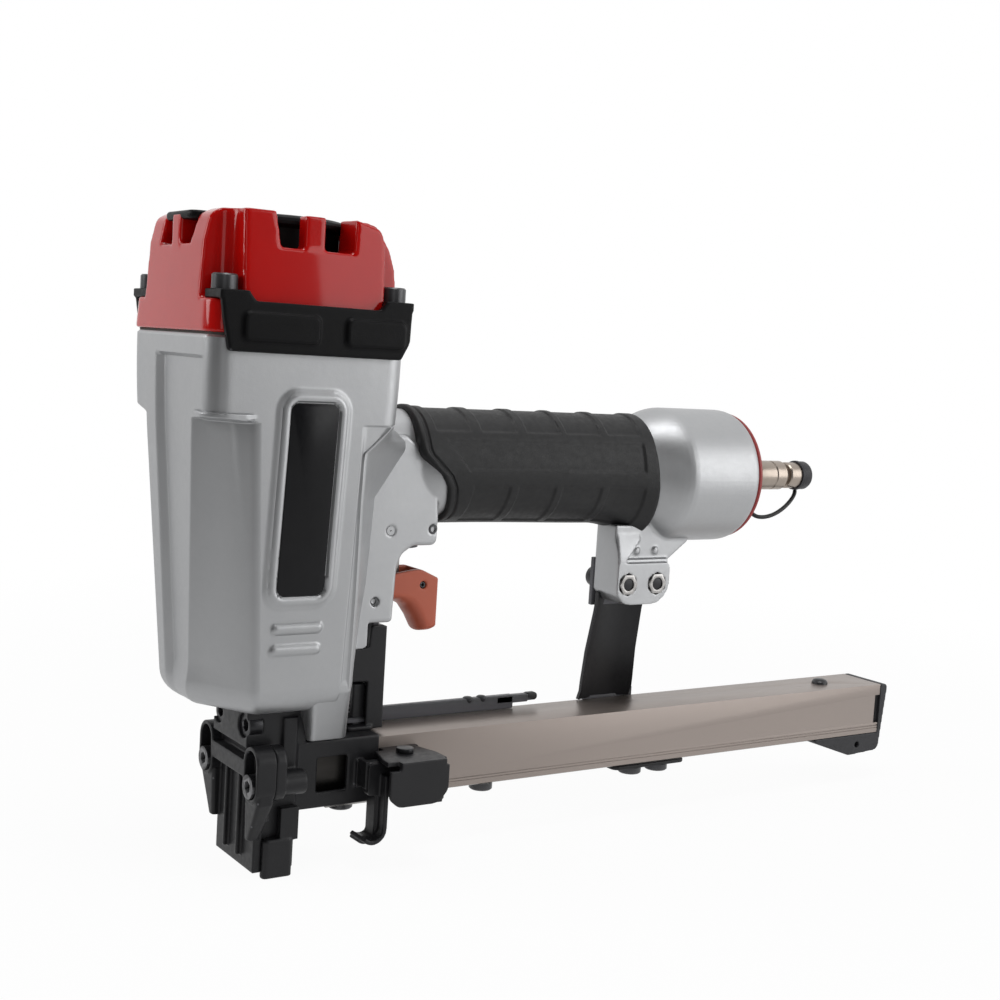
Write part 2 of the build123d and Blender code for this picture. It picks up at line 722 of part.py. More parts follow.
def housing_cuts():
    """Hollows of the housing: air chamber, sleeve seat, driver slot, reservoir, trigger slot and holes."""
    reach = 2 * FLANGE_X
    cuts = [label_seat(), rod_z(0, 0, (SLEEVE_FLOOR + SLEEVE_SEAT_H, FLANGE_Z + 1), CHAMBER_D)]
    cuts.append(rod_z(0, 0, (SLEEVE_FLOOR, FLANGE_Z), SLEEVE_OD + 2 * SEAT))
    cuts.append(box((-CHANNEL_X - PLAY, CHANNEL_X + PLAY), (-CHANNEL_Y - PLAY, CHANNEL_Y + PLAY),
                    (BODY_BOTTOM, SLEEVE_FLOOR + 1)))
    cuts.append(box((SPIGOT_X[0] - SEAT, SPIGOT_X[1] + SEAT), (-SPIGOT_Y - SEAT, SPIGOT_Y + SEAT),
                    (BODY_BOTTOM - 1, SPIGOT_TOP + SEAT)))
    oval = cross_section(0) * Pos(0, HANDLE_Z) * Ellipse(CORE_BORE_Y, CORE_BORE_Z)
    cuts.append(extrude(oval, BULGE_END_X - END_BORE_L + 1))
    cuts.append(rod_x(0, BULGE_Z, (BULGE_END_X - END_BORE_L, BULGE_END_X + 1), END_BORE_D))
    slot_front = PIVOT_X - PIVOT_BOSS_R - 2 * PLAY
    cuts.append(box((slot_front, reach), (-TRIGGER_SLOT_Y, TRIGGER_SLOT_Y), (LUG_BOTTOM - 1, CHIN_Z - 2.5)))
    cuts.append(rod_y(PIVOT_X, PIVOT_Z, (-reach, reach), PIVOT_D + 2 * SEAT))
    cuts.append(rod_z(VALVE_X, 0, (CHIN_Z - 5.0, VALVE_TOP + SEAT), VALVE_D + 2 * SEAT))
    for side in (-1, 1):
        pin_x = VALVE_X + side * PIN_OFFSET
        cuts.append(rod_y(pin_x, VALVE_PIN_Z, (-reach, reach), VALVE_PIN_D + 2 * SEAT))
        screw_hole = (TAIL_FRONT - 1, TAIL_REAR - BRACKET_SCREW_END + 1)
        cuts.append(rod_x(side * BRACKET_SCREW_Y, BRACKET_SCREW_Z, screw_hole, SCREW_D + 2 * SEAT))
        for x in (-CAP_SCREW_X, CAP_SCREW_X):
            depth = EAR_TOP - CAP_SCREW_L - 1.0
            cuts.append(rod_z(x, side * CAP_SCREW_Y, (depth, FLANGE_Z + 1), SCREW_D + 2 * SEAT))
    for x in STRUT_BOLT_X:
        cuts.append(rod_y(x, STRUT_BOLT_Z, (STRUT_LUG_NEAR - 1, STRUT_LUG_FAR + 1), SCREW_D + 2 * SEAT))
        cuts.append(extrude(nut_seat(x) * RegularPolygon(NUT_FLATS / 2 + PLAY, 6, major_radius=False),
                            NUT_SINK + 1))
    front = -BODY_TOP_FRONT - 5.0
    slope = (BODY_TOP_FRONT - BODY_LOW_FRONT) / (BODY_TOP_Z - BODY_BOTTOM - BODY_ROUND)
    low_face = -BODY_TOP_FRONT + slope * (BODY_TOP_Z - PANEL_LOW_Z)
    face = -FLANGE_X + PANEL_DEPTH
    panel = [(front, PANEL_LOW_Z), (low_face + PANEL_DEPTH, PANEL_LOW_Z), (face, BODY_TOP_Z),
             (face, PANEL_TOP_Z), (front, PANEL_TOP_Z)]
    cuts.append(side_plate(panel, (PANEL_NEAR_Y, PANEL_FAR_Y)))
    return cuts


def main_housing():
    tail = box((TAIL_FRONT, TAIL_REAR), (-TAIL_Y, TAIL_Y), (TAIL_BOTTOM, BODY_BOTTOM + BODY_ROUND + 10.0))
    body = body_shell() + [handle_core(0), handle_bulge(0), neck(), strut_lug(), tail] + side_features()
    return body - housing_cuts()


def label_plate():
    shape = RectangleRounded(LABEL_W, LABEL_L, LABEL_R - SEAT)
    return extrude(side_plane(LABEL_X, LABEL_Z) * shape, LABEL_T)


# Cap group

def cap_corners():
    """Places of the four cap screws."""
    return [(x, y) for x in (-CAP_SCREW_X, CAP_SCREW_X) for y in (-CAP_SCREW_Y, CAP_SCREW_Y)]


def cap_gasket():
    plan = RectangleRounded(2 * (FLANGE_X - GASKET_INSET), 2 * (FLANGE_Y - GASKET_INSET), FLANGE_R)
    sheet = Pos(0, 0, FLANGE_Z) * extrude(plan, GASKET_T)
    sheet -= rod_z(0, 0, (FLANGE_Z - 1, CAP_Z + 1), CHAMBER_D)
    for x, y in cap_corners():
        sheet -= rod_z(x, y, (FLANGE_Z - 1, CAP_Z + 1), SCREW_D + 2 * SEAT)
    return sheet


def cap_windows():
    """Exhaust notches in the cap's rim, each split by a pillar: two sides and the front."""
    low = CAP_TOP - NOTCH_DEPTH
    high = CAP_TOP + 1
    inner = WELL_D / 2 - 6.0
    outer = CAP_LOW_X + 5.0
    half = NOTCH_W / 2
    pillar = (-PILLAR_W / 2, PILLAR_W / 2)
    side_y = -CAP_TOP_Y - 1.0
    front_x = -CAP_TOP_X - 1.0
    notch_side = box((-half, half), (-outer, -inner), (low, high))
    notch_side -= box(pillar, (side_y, side_y + PILLAR_T), (low, high))
    notch_front = box((-outer, -inner), (-half, half), (low, high))
    notch_front -= box((front_x, front_x + PILLAR_T), pillar, (low, high))
    return both_sides(notch_side) + [notch_front]


def cylinder_cap():
    low = Pos(0, 0, CAP_Z) * RectangleRounded(2 * CAP_LOW_X, 2 * CAP_LOW_Y, CAP_R)
    top = Pos(0, 0, CAP_TOP) * RectangleRounded(2 * CAP_TOP_X, 2 * CAP_TOP_Y, CAP_R)
    cap = loft([low, top], ruled=True)
    width = (-CAP_LOW_Y - 1, CAP_LOW_Y + 1)
    over = 5.0
    rear = [(CAP_TOP_X - back, CAP_TOP - down) for back, down in CAP_REAR_SLOPE]
    cap -= side_plate(rear + [(CAP_LOW_X + over, CAP_TOP), (CAP_LOW_X + over, CAP_TOP + over),
                              (rear[0][0], CAP_TOP + over)], width)
    back, down = CAP_FRONT_SLOPE
    cap -= side_plate([(-CAP_TOP_X - 1.0, CAP_TOP - down), (-CAP_TOP_X + back, CAP_TOP),
                       (-CAP_TOP_X + back, CAP_TOP + over), (-CAP_TOP_X - over, CAP_TOP + over)], width)
    cap -= rod_z(0, 0, (CAP_Z - 1, CAP_CEILING), HEAD_D + 2 * PLAY)
    cap -= rod_z(0, 0, (WELL_Z, CAP_TOP + 5.0), WELL_D)
    cap -= cap_windows()
    for x, y in cap_corners():
        cap -= rod_z(x, y, (POCKET_Z, CAP_TOP + 5.0), 2 * POCKET_R)
        cap -= rod_z(x, y, (CAP_Z - 1, POCKET_Z + 1), SCREW_D + 2 * SEAT)
    return cap


def exhaust_deflector():
    radius = WELL_D / 2 - PLAY
    top = CAP_TOP + DOME_PROUD
    ball_r = (radius ** 2 + DOME_RISE ** 2) / (2 * DOME_RISE)
    drum = rod_z(0, 0, (WELL_Z, top), 2 * radius)
    return drum & Pos(0, 0, top - ball_r) * Sphere(ball_r)


def left_guard():
    outer = GUARD_IN + GUARD_T
    ear_x = CAP_SCREW_X - GUARD_EAR_R
    low_end = GUARD_BOTTOM + GUARD_END_Z
    half = [(GUARD_LOW_X, GUARD_BOTTOM), (GUARD_TOP_X, low_end), (GUARD_TOP_X, EAR_TOP), (ear_x, EAR_TOP),
            (ear_x - GUARD_EAR_T, POCKET_Z)]
    guard = side_plate(half + [(-x, z) for x, z in reversed(half)], (-outer, -GUARD_IN))
    edge = GUARD_TOP_X - CAP_SCREW_X
    height = (POCKET_Z, EAR_TOP)
    for side in (-1, 1):
        x = side * CAP_SCREW_X
        ear = box((x - side * GUARD_EAR_R, x + side * edge), (-outer, -CAP_SCREW_Y), height)
        ear += rod_z(x, -CAP_SCREW_Y, height, 2 * GUARD_EAR_R)
        guard += ear - rod_z(x, -CAP_SCREW_Y, (POCKET_Z - 1, EAR_TOP + 1), SCREW_D + 2 * SEAT)
    for x, width in GUARD_PADS:
        shape = Pos(x, -outer, GUARD_BOTTOM + GUARD_PAD_RISE) * Rot(90, 0, 0)
        guard += extrude(shape * RectangleRounded(width, GUARD_PAD_TALL, GUARD_PAD_R), GUARD_PAD_H)
    return guard


def cap_screws():
    return [Pos(x, y, EAR_TOP) * socket_screw(CAP_SCREW_L) for x, y in cap_corners()]


# Handle end and grip

def grip_sleeve():
    oval = Ellipse(GRIP_Y, GRIP_Z)
    flared = Ellipse(GRIP_Y + GRIP_FLARE, GRIP_Z + GRIP_FLARE)
    bend = GRIP_REAR_X - GRIP_FLARE_L
    start = cross_section(GRIP_TOP_X - 5.0) * Pos(0, HANDLE_Z) * oval
    sleeve = extrude(start, bend - GRIP_TOP_X + 5.0)
    sleeve += loft([cross_section(bend) * Pos(0, HANDLE_Z) * oval,
                    cross_section(GRIP_REAR_X) * Pos(0, HANDLE_Z - GRIP_FLARE / 3) * flared])
    top = HANDLE_Z + GRIP_Z
    slope = (GRIP_LOW_X - GRIP_TOP_X) / (2 * GRIP_Z)
    over = 10.0
    ahead = GRIP_TOP_X - 2 * over
    below = top - 2 * GRIP_Z - over
    front = [(ahead, top + over), (GRIP_TOP_X - slope * over, top + over),
             (GRIP_LOW_X + slope * over, below), (ahead, below)]
    sleeve -= side_plate(front, (-2 * GRIP_Y, 2 * GRIP_Y))
    return sleeve - handle_core(SEAT) - handle_bulge(SEAT) - strut_lug()


def end_ring():
    ring = rod_x(0, BULGE_Z, (BULGE_END_X, BULGE_END_X + RING_T), 2 * (BULGE_R - BULGE_LIP + RING_PROUD))
    return ring - rod_x(0, BULGE_Z, (BULGE_END_X - 1, BULGE_END_X + RING_T + 1), END_BORE_D)


def handle_end_cap():
    face = BULGE_END_X + RING_T
    cap = rod_x(0, BULGE_Z, (BULGE_END_X - END_BORE_L + 2.0, face), END_BORE_D - 2 * SEAT)
    cap += rod_x(0, BULGE_Z, (face, face + END_CAP_T), 2 * (BULGE_R - BULGE_LIP))
    hole = (BULGE_END_X - END_BORE_L, face + END_CAP_T + 1)
    return cap - rod_x(0, BULGE_Z, hole, PLUG_THREAD_D + 2 * SEAT)


def air_plug():
    thread = rod_x(0, BULGE_Z, (PLUG_START - PLUG_THREAD_L, PLUG_START), PLUG_THREAD_D)
    hexagon = RegularPolygon(PLUG_HEX / 2, 6, major_radius=False)
    plug = thread + extrude(cross_section(PLUG_START) * Pos(0, BULGE_Z) * hexagon, PLUG_HEX_L)
    plug += rod_x(0, BULGE_Z, (PLUG_NECK, PLUG_COLLAR), PLUG_SEAT_D)
    plug += rod_x(0, BULGE_Z, (PLUG_COLLAR, PLUG_GROOVE), PLUG_D)
    plug += rod_x(0, BULGE_Z, (PLUG_GROOVE, PLUG_TIP), PLUG_GROOVE_D)
    plug += rod_x(0, BULGE_Z, (PLUG_TIP, PLUG_END), PLUG_TIP_D)
    return plug - rod_x(0, BULGE_Z, (BULGE_END_X - END_BORE_L, PLUG_END + 1), PLUG_BORE_D)


def dust_cap():
    cup = rod_x(0, BULGE_Z, (DUST_START, PLUG_END + PLAY + DUST_CAP_END), DUST_CAP_D)
    return cup - rod_x(0, BULGE_Z, (DUST_START - 1, PLUG_END + PLAY), PLUG_TIP_D + 2 * RUN)


def strap_collar():
    """Ring on the plug's neck that the strap grows from."""
    x = (PLUG_NECK + PLAY, PLUG_NECK + PLAY + STRAP_COLLAR_L)
    ring = rod_x(0, BULGE_Z, x, PLUG_D + 2 * STRAP_COLLAR_T)
    return ring - rod_x(0, BULGE_Z, (x[0] - 1, x[1] + 1), PLUG_SEAT_D + 2 * SEAT)


def dust_cap_strap():
    """Moulded strap from the collar on the plug to the dust cap's rim, with its collar."""
    start_x = PLUG_NECK + PLAY + STRAP_COLLAR_L / 2
    end_x = (DUST_START + PLUG_END) / 2 + 1.0
    low = BULGE_Z - PLUG_D / 2 - STRAP_COLLAR_T / 2
    high = BULGE_Z - DUST_CAP_D / 2 - STRAP_D / 2 - PLAY
    bottom = BULGE_Z - STRAP_SAG
    mid_x = (start_x + end_x) / 2
    points = [(start_x, 0, low), (start_x + 1.0, STRAP_SIDE / 2, low - 4.5),
              (mid_x - 4.0, STRAP_SIDE, bottom), (end_x - 6.0, STRAP_SIDE / 2, bottom + 4.0),
              (end_x, 0, high)]
    path = FilletPolyline(*points, radius=4.0)
    profile = Plane(origin=path @ 0, z_dir=path % 0) * Circle(STRAP_D / 2)
    return sweep(profile, path) + strap_collar()


# Trigger and its valve

def trigger():
    outline = [(PIVOT_X - PIVOT_BOSS_R, PIVOT_Z)]
    outline += [(PIVOT_X + x, PIVOT_Z + z) for x, z in TRIGGER_BROW]
    outline += [(LEVER_X + x, LEVER_Z + z) for x, z in TRIGGER_TOP + TRIGGER_FINGER]
    outline += [(PIVOT_X + x, PIVOT_Z + z) for x, z in TRIGGER_CHIN]
    lever = side_plate(outline, (-TRIGGER_Y, TRIGGER_Y))
    floor_x = LEVER_FRONT_X + TRIGGER_FLOOR
    inner_y = TRIGGER_Y - TRIGGER_WALL
    eye = LEVER_EYE_D / 2 + PLAY
    ahead, below = PIVOT_X - 2 * PIVOT_BOSS_R, PIVOT_Z - 2 * PIVOT_BOSS_R
    above = PIVOT_Z + 3 * PIVOT_BOSS_R
    hollow = [(ahead, below), (floor_x, below), (floor_x, LEVER_Z - eye), (LEVER_X + eye, LEVER_Z - eye),
              (LEVER_X + eye, above), (ahead, above)]
    lever -= side_plate(hollow, (-inner_y, inner_y))
    lever -= rod_y(PIVOT_X, PIVOT_Z, (-2 * TRIGGER_Y, 2 * TRIGGER_Y), PIVOT_D + 2 * RUN)
    return lever - rod_y(LEVER_X, LEVER_Z, (-2 * TRIGGER_Y, 2 * TRIGGER_Y), LEVER_PIN_D + 2 * SEAT)


def trigger_pin():
    return rod_y(PIVOT_X, PIVOT_Z, (-NECK_Y, NECK_Y), PIVOT_D)


def lever_pin():
    return rod_y(LEVER_X, LEVER_Z, (-TRIGGER_Y, TRIGGER_Y), LEVER_PIN_D)


def trigger_lever():
    bar = box((LEVER_FRONT_X, LEVER_X), (-LEVER_Y, LEVER_Y), (LEVER_Z - LEVER_T / 2, LEVER_Z + LEVER_T / 2))
    bar += rod_y(LEVER_X, LEVER_Z, (-LEVER_Y, LEVER_Y), LEVER_EYE_D)
    bar -= rod_y(LEVER_X, LEVER_Z, (-2 * LEVER_Y, 2 * LEVER_Y), LEVER_PIN_D + 2 * RUN)
    return bar


def valve_body():
    body = rod_z(VALVE_X, 0, (VALVE_BOTTOM, VALVE_TOP), VALVE_D)
    groove_z = (VALVE_PIN_Z - VALVE_PIN_D / 2 - SEAT, VALVE_PIN_Z + VALVE_PIN_D / 2 + SEAT)
    body -= tube_z(groove_z, VALVE_D + 2, VALVE_D - 2 * VALVE_PIN_BITE - 2 * SEAT, VALVE_X)
    body -= rod_z(VALVE_X, 0, (VALVE_BOTTOM - 1, VALVE_TOP), STEM_D + 2 * RUN)
    return body - rod_z(VALVE_X, 0, (STEM_HEAD_Z - PLAY, VALVE_TOP + 1), STEM_HEAD_D + 2 * PLAY)


def valve_stem():
    stem = rod_z(VALVE_X, 0, (STEM_BOTTOM, STEM_HEAD_Z), STEM_D)
    return stem + rod_z(VALVE_X, 0, (STEM_HEAD_Z, STEM_HEAD_Z + STEM_HEAD_H), STEM_HEAD_D)


def valve_spring():
    low = STEM_HEAD_Z + STEM_HEAD_H + SEAT
    return tube_z((low, VALVE_TOP - SEAT), STEM_HEAD_D - 1.0, STEM_HEAD_D - 3.0, VALVE_X)


def valve_pins():
    places = (VALVE_X - PIN_OFFSET, VALVE_X + PIN_OFFSET)
    return [rod_y(x, VALVE_PIN_Z, (-NECK_Y, NECK_Y), VALVE_PIN_D) for x in places]


# Nose

def ear_outline(radius):
    """Upright slot shape of a front plate ear, in Y and Z about the screw."""
    return Pos(0, EAR_SLOT_H / 2) * Rot(0, 0, 90) * SlotOverall(EAR_SLOT_H + 2 * radius, 2 * radius)


def front_plate():
    back = -CHANNEL_X - SEAT
    face = back - PLATE_T
    plate = box((face, back), (-PLATE_Y, PLATE_Y), (0, PLATE_TOP))
    plate += box((face, back), (-SHOULDER_Y, SHOULDER_Y), (SHOULDER_Z, EAR_Z))
    for side in (-1, 1):
        y = side * EAR_Y
        plate += extrude(cross_section(-EAR_FRONT) * Pos(y, EAR_Z) * ear_outline(EAR_R), EAR_FRONT + back)
    plate += box((-EAR_FRONT, back), (-EAR_Y, EAR_Y), (EAR_Z + EAR_BRIDGE_Z, EAR_Z + EAR_SLOT_H))
    rib = box((face - PLATE_RIB_H, back), (PLATE_RIB_Y - PLATE_RIB_W / 2, PLATE_RIB_Y + PLATE_RIB_W / 2),
              (PLATE_RIB_LOW, EAR_Z + PLATE_RIB_LAP))
    plate += both_sides(rib)
    head = SCREW_HEAD_D / 2 + PLAY
    for side in (-1, 1):
        y = side * EAR_Y
        pocket = cross_section(-EAR_FRONT - 1) * Pos(y, EAR_Z) * ear_outline(head)
        plate -= extrude(pocket, EAR_FRONT + 1 + face + SEAT)
        plate -= rod_x(y, EAR_Z, (-EAR_FRONT - 1, 0), SCREW_D + 2 * SEAT)
    return plate


def nose_screws():
    seat = -CHANNEL_X - SEAT - PLATE_T + SEAT
    screw = along_x(socket_screw(NOSE_REAR + CHANNEL_X - NOSE_SCREW_END))
    return [Pos(seat, y, EAR_Z) * screw for y in (-EAR_Y, EAR_Y)]


def nose_body():
    block = box((-CHANNEL_X, NOSE_REAR), (-NOSE_Y, NOSE_Y), (0, CHEEK_TOP))
    bracket = box((-BRACKET_FRONT, TAIL_FRONT - SEAT), (-NOSE_Y, NOSE_Y), (CHEEK_TOP, BODY_BOTTOM - SEAT))
    bracket += box((-CHANNEL_X, NOSE_REAR), (-NOSE_Y, NOSE_Y), (CHEEK_TOP - 1, CHEEK_TOP + 1))
    spigot = box(SPIGOT_X, (-SPIGOT_Y, SPIGOT_Y), (BODY_BOTTOM - 1, SPIGOT_TOP))
    body = block + bracket + spigot
    for side in (-1, 1):
        y = side * EAR_Y
        body += extrude(cross_section(-CHANNEL_X) * Pos(y, EAR_Z) * ear_outline(EAR_R), WING_T)
        body += box((-CHANNEL_X, -CHANNEL_X + WING_T), (0, y), (EAR_Z - WING_DROP, EAR_Z + EAR_SLOT_H))
        body += rod_x(y, EAR_Z, (-CHANNEL_X, NOSE_REAR), BOSS_D)
        web = (EAR_Z - BOSS_WEB / 2, EAR_Z + BOSS_WEB / 2)
        body += box((-CHANNEL_X, NOSE_REAR), (side * CHEEK_Y, y), web)
        body += box(UPRIGHT_X, (side * CHEEK_Y, side * UPRIGHT_Y), (EAR_Z, UPRIGHT_TOP))
        inner = CHEEK_Y - CHEEK_T
        body += box((NOSE_REAR - 1, NOSE_END), (side * inner, side * CHEEK_Y), (CHEEK_BOTTOM, CHEEK_TOP))
    body += box((NOSE_REAR - 1, NOSE_END), (-CHEEK_Y, CHEEK_Y), (CHEEK_TOP - NOSE_ROOF_T, CHEEK_TOP))
    floor = (CHEEK_BOTTOM, CHEEK_BOTTOM + NOSE_FLOOR_T)
    body += box((BAR_FRONT - NOSE_FLOOR_LAP, NOSE_END), (-CHEEK_Y, CHEEK_Y), floor)
    body += box(CATCH_X, (-CHEEK_Y - CATCH_H, -CHEEK_Y), CATCH_Z)
    return body - nose_cuts()


def nose_cuts():
    """Driver channel, staple passage, side window, rail slot and screw holes of the nose body."""
    cuts = [box((-CHANNEL_X - 1, CHANNEL_X), (-CHANNEL_Y, CHANNEL_Y), (-1, CHEEK_TOP)),
            box((-CHANNEL_X, CHANNEL_X), (-CHANNEL_Y, CHANNEL_Y), (CHEEK_TOP - 1, SPIGOT_TOP + 1))]
    staple_y = BLADE_W / 2 + STAPLE_GAP
    cuts.append(box((0, NOSE_REAR + 0.5), (-staple_y, staple_y), (STAPLE_LOW_Z, COVER_IN_TOP)))
    cuts.append(box((FOOT_BAR_X[0] - SLIDE, FOOT_BAR_X[1] + SLIDE), (-2 * NOSE_Y, 2 * NOSE_Y),
                    (FOOT_BAR_Z[0] - SLIDE, FOOT_BAR_Z[1] + FOOT_PROUD + SLIDE)))
    cuts.append(box(WINDOW_X, (-CHEEK_Y - 1, -CHEEK_Y + CHEEK_T + 1), WINDOW_Z))
    cuts.append(box((BAR_FRONT - 1, NOSE_END + 1), (-BAR_Y - SEAT, BAR_Y + SEAT),
                    (CHEEK_BOTTOM - 1, CHEEK_BOTTOM + NOSE_FLOOR_T + 1)))
    for side in (-1, 1):
        screw_hole = (-CHANNEL_X - 1, NOSE_REAR - NOSE_SCREW_END)
        cuts.append(rod_x(side * EAR_Y, EAR_Z, screw_hole, SCREW_D + 2 * SEAT))
        y = side * BRACKET_SCREW_Y
        cuts.append(rod_x(y, BRACKET_SCREW_Z, (-BRACKET_FRONT - 1, TAIL_FRONT + 1), SCREW_D + 2 * SEAT))
        sink = (-BRACKET_FRONT - 1, -BRACKET_FRONT + SCREW_HEAD_H + BRACKET_SCREW_SINK)
        cuts.append(rod_x(y, BRACKET_SCREW_Z, sink, SCREW_HEAD_D + 2 * SEAT))
    return cuts


def bracket_screws():
    seat = -BRACKET_FRONT + SCREW_HEAD_H + BRACKET_SCREW_SINK
    screw = along_x(socket_screw(TAIL_REAR - BRACKET_SCREW_END - seat))
    return [Pos(seat, y, BRACKET_SCREW_Z) * screw for y in (-BRACKET_SCREW_Y, BRACKET_SCREW_Y)]


def contact_foot():
    """Two legs beside the nose, joined by a bar that crosses the nose in a slot."""
    leg = box((0, FOOT_REAR), (-FOOT_OUT, -FOOT_IN), (-FOOT_PROUD, FOOT_TOP))
    leg += box(FOOT_ARM_X, (-FOOT_OUT, -FOOT_IN), (FOOT_TOP - 1, FOOT_ARM_TOP))
    bar = box(FOOT_BAR_X, (-FOOT_OUT, FOOT_OUT), FOOT_BAR_Z)
    return bar + both_sides(leg)


def contact_arm():
    """Sheet arm: from the foot along the right side, up past the nose and across to the trigger."""
    y = (FOOT_IN, FOOT_IN + ARM_T)
    shelf = (ARM_SHELF_Z, ARM_SHELF_Z + ARM_T)
    run = (FOOT_ARM_TOP - ARM_W, FOOT_ARM_TOP)
    arm = box((FOOT_ARM_X[1], ARM_X[1]), y, run)
    arm += box(ARM_X, y, (run[0], shelf[1]))
    arm += box(ARM_X, (-ARM_Y, y[1]), shelf)
    arm += box((ARM_X[0], ARM_POST_X[1]), (-ARM_Y, ARM_Y), shelf)
    tip = LEVER_Z - LEVER_T / 2 - FOOT_PROUD - PLAY
    return arm + box(ARM_POST_X, (-ARM_Y, ARM_Y), (shelf[0], tip))


def arm_guide():
    """Upright channel on the nose's roof that guides the contact arm."""
    window = GUIDE_WINDOW_Z
    column = ARM_POST_X[0] - GUIDE_T
    outline = [(GUIDE_FRONT, GUIDE_BOTTOM), (GUIDE_REAR, GUIDE_BOTTOM), (GUIDE_REAR, GUIDE_TOP),
               (column, GUIDE_TOP), (column, GUIDE_STEP_TOP), (GUIDE_FRONT, GUIDE_STEP_TOP),
               (GUIDE_FRONT, window[1]), (GUIDE_WINDOW_X, window[1]), (GUIDE_WINDOW_X, window[0]),
               (GUIDE_FRONT, window[0])]
    sides = both_sides(side_plate(outline, (-GUIDE_Y, -GUIDE_Y + GUIDE_T)))
    back = box((GUIDE_REAR - GUIDE_T, GUIDE_REAR), (-GUIDE_Y, GUIDE_Y), (GUIDE_BOTTOM, GUIDE_TOP))
    tab_x = (CONTACT_SPRING_X - CONTACT_SPRING_D / 2, column + 1.0)
    tab = box(tab_x, (-GUIDE_Y, GUIDE_Y), (SPRING_TAB_Z, SPRING_TAB_Z + GUIDE_T))
    guide = back + sides + tab
    slot = box((ARM_X[0] - SLIDE, ARM_X[1] + SLIDE), (0, 2 * GUIDE_Y),
               (GUIDE_BOTTOM - 1, ARM_SHELF_Z + ARM_T + FOOT_PROUD + SLIDE))
    return guide - slot


def contact_spring():
    low = ARM_SHELF_Z + ARM_T + SEAT
    inner_d = CONTACT_SPRING_D - 2 * CONTACT_SPRING_WIRE
    return tube_z((low, SPRING_TAB_Z - SEAT), CONTACT_SPRING_D, inner_d, CONTACT_SPRING_X)


# Magazine

def inner_rail():
    rail = box((CHANNEL_X + SEAT, RAIL_END), (-RAIL_Y, RAIL_Y), (RAIL_BOTTOM, RAIL_TOP))
    groove = (RAIL_TOP - RAIL_GROOVE_D, RAIL_TOP + 1)
    rail -= box((COVER_FRONT, RAIL_END + 1), (-RAIL_GROOVE_Y, RAIL_GROOVE_Y), groove)
    for x in RAIL_SCREW_X + FOOT_SCREW_X:
        rail -= rod_z(x, 0, (RAIL_BOTTOM - 1, RAIL_BOTTOM + RAIL_SCREW_BITE + 1), SCREW_D + 2 * SEAT)
    return rail


def bottom_bar():
    bar = box((BAR_FRONT, RAIL_END), (-BAR_Y, BAR_Y), (BAR_BOTTOM, RAIL_BOTTOM))
    bar += box((BAR_FRONT, NOSE_END), (-BAR_FLANGE_Y, BAR_FLANGE_Y), (BAR_BOTTOM, CHEEK_BOTTOM))
    for x in RAIL_SCREW_X + FOOT_SCREW_X:
        bar -= rod_z(x, 0, (BAR_BOTTOM - 1, RAIL_BOTTOM + 1), SCREW_D + 2 * SEAT)
    return bar


def rail_screws():
    length = RAIL_BOTTOM - BAR_BOTTOM + RAIL_SCREW_BITE
    return [Pos(x, 0, BAR_BOTTOM) * Rot(180, 0, 0) * socket_screw(length) for x in RAIL_SCREW_X]


def magazine_cover():
    cover = box((COVER_FRONT, COVER_END), (-COVER_Y, COVER_Y), (COVER_BOTTOM, COVER_TOP))
    through = (COVER_FRONT - 1, COVER_END + 1)
    cover -= box(through, (-COVER_IN_Y, COVER_IN_Y), (LIP_TOP, COVER_IN_TOP))
    cover -= box(through, (-COVER_SLOT_Y, COVER_SLOT_Y), (COVER_BOTTOM - 1, LIP_TOP + 1))
    for side in (-1, 1):
        y = side * COVER_Y
        cover -= box(through, (y - SEAM_D, y + SEAM_D), (SEAM_Z - SEAM_D / 2, SEAM_Z + SEAM_D / 2))
        slot = (LIP_TOP + END_SLOT_Z[0], COVER_TOP - END_SLOT_Z[1])
        cover -= box((COVER_END - END_SLOT_L, COVER_END + 1), (side * COVER_IN_Y, y + side), slot)
    return cover - rod_z(COVER_SCREW_X, 0, (COVER_IN_TOP - 1, COVER_TOP + 1), COVER_SCREW_D + 2 * SEAT)


def magazine_end_cap():
    """Cap on the cover's rear end with a plug inside it, a tongue under its top and a foot below."""
    floor = COVER_BOTTOM - SEAT
    inner = COVER_END + SEAT
    roof = COVER_TOP + SLIDE
    round_x, round_z = END_FOOT_ROUND
    outline = [(END_FOOT_FRONT, floor), (END_FOOT_LOW_X, END_FOOT_Z),
               (END_CAP_REAR - round_x, END_FOOT_Z + round_z),
               (END_CAP_REAR - round_x / 4, END_FOOT_Z + 2 * round_z), (END_CAP_REAR, roof - round_z),
               (END_CAP_REAR - round_z, roof), (inner, roof), (inner, floor)]
    cap = side_plate(outline, (-END_CAP_Y, END_CAP_Y))
    y_in = COVER_IN_Y - SEAT
    top = COVER_IN_TOP - SEAT
    cap += box((END_CAP_PLUG, COVER_END + 1), (-y_in, y_in), (LIP_TOP + 2.0, top))
    cap += box((END_TONGUE_X, END_CAP_PLUG + 1), (-y_in, y_in), (top - END_TONGUE_T, top))
    slot_y = BAR_Y + SLIDE
    cap -= box((END_FOOT_FRONT - 1, RAIL_END + PLAY), (-slot_y, slot_y), (BAR_BOTTOM - SLIDE, COVER_BOTTOM))
    return cap - rod_z(COVER_SCREW_X, 0, (top - END_TONGUE_T - 1, top + 1), COVER_SCREW_D + 2 * SEAT)


def cover_screw():
    top = COVER_IN_TOP - SEAT
    screw = rod_z(COVER_SCREW_X, 0, (top - END_TONGUE_T, COVER_TOP), COVER_SCREW_D)
    return screw + rod_z(COVER_SCREW_X, 0, (COVER_TOP, COVER_TOP + COVER_SCREW_HEAD_H), COVER_SCREW_HEAD_D)


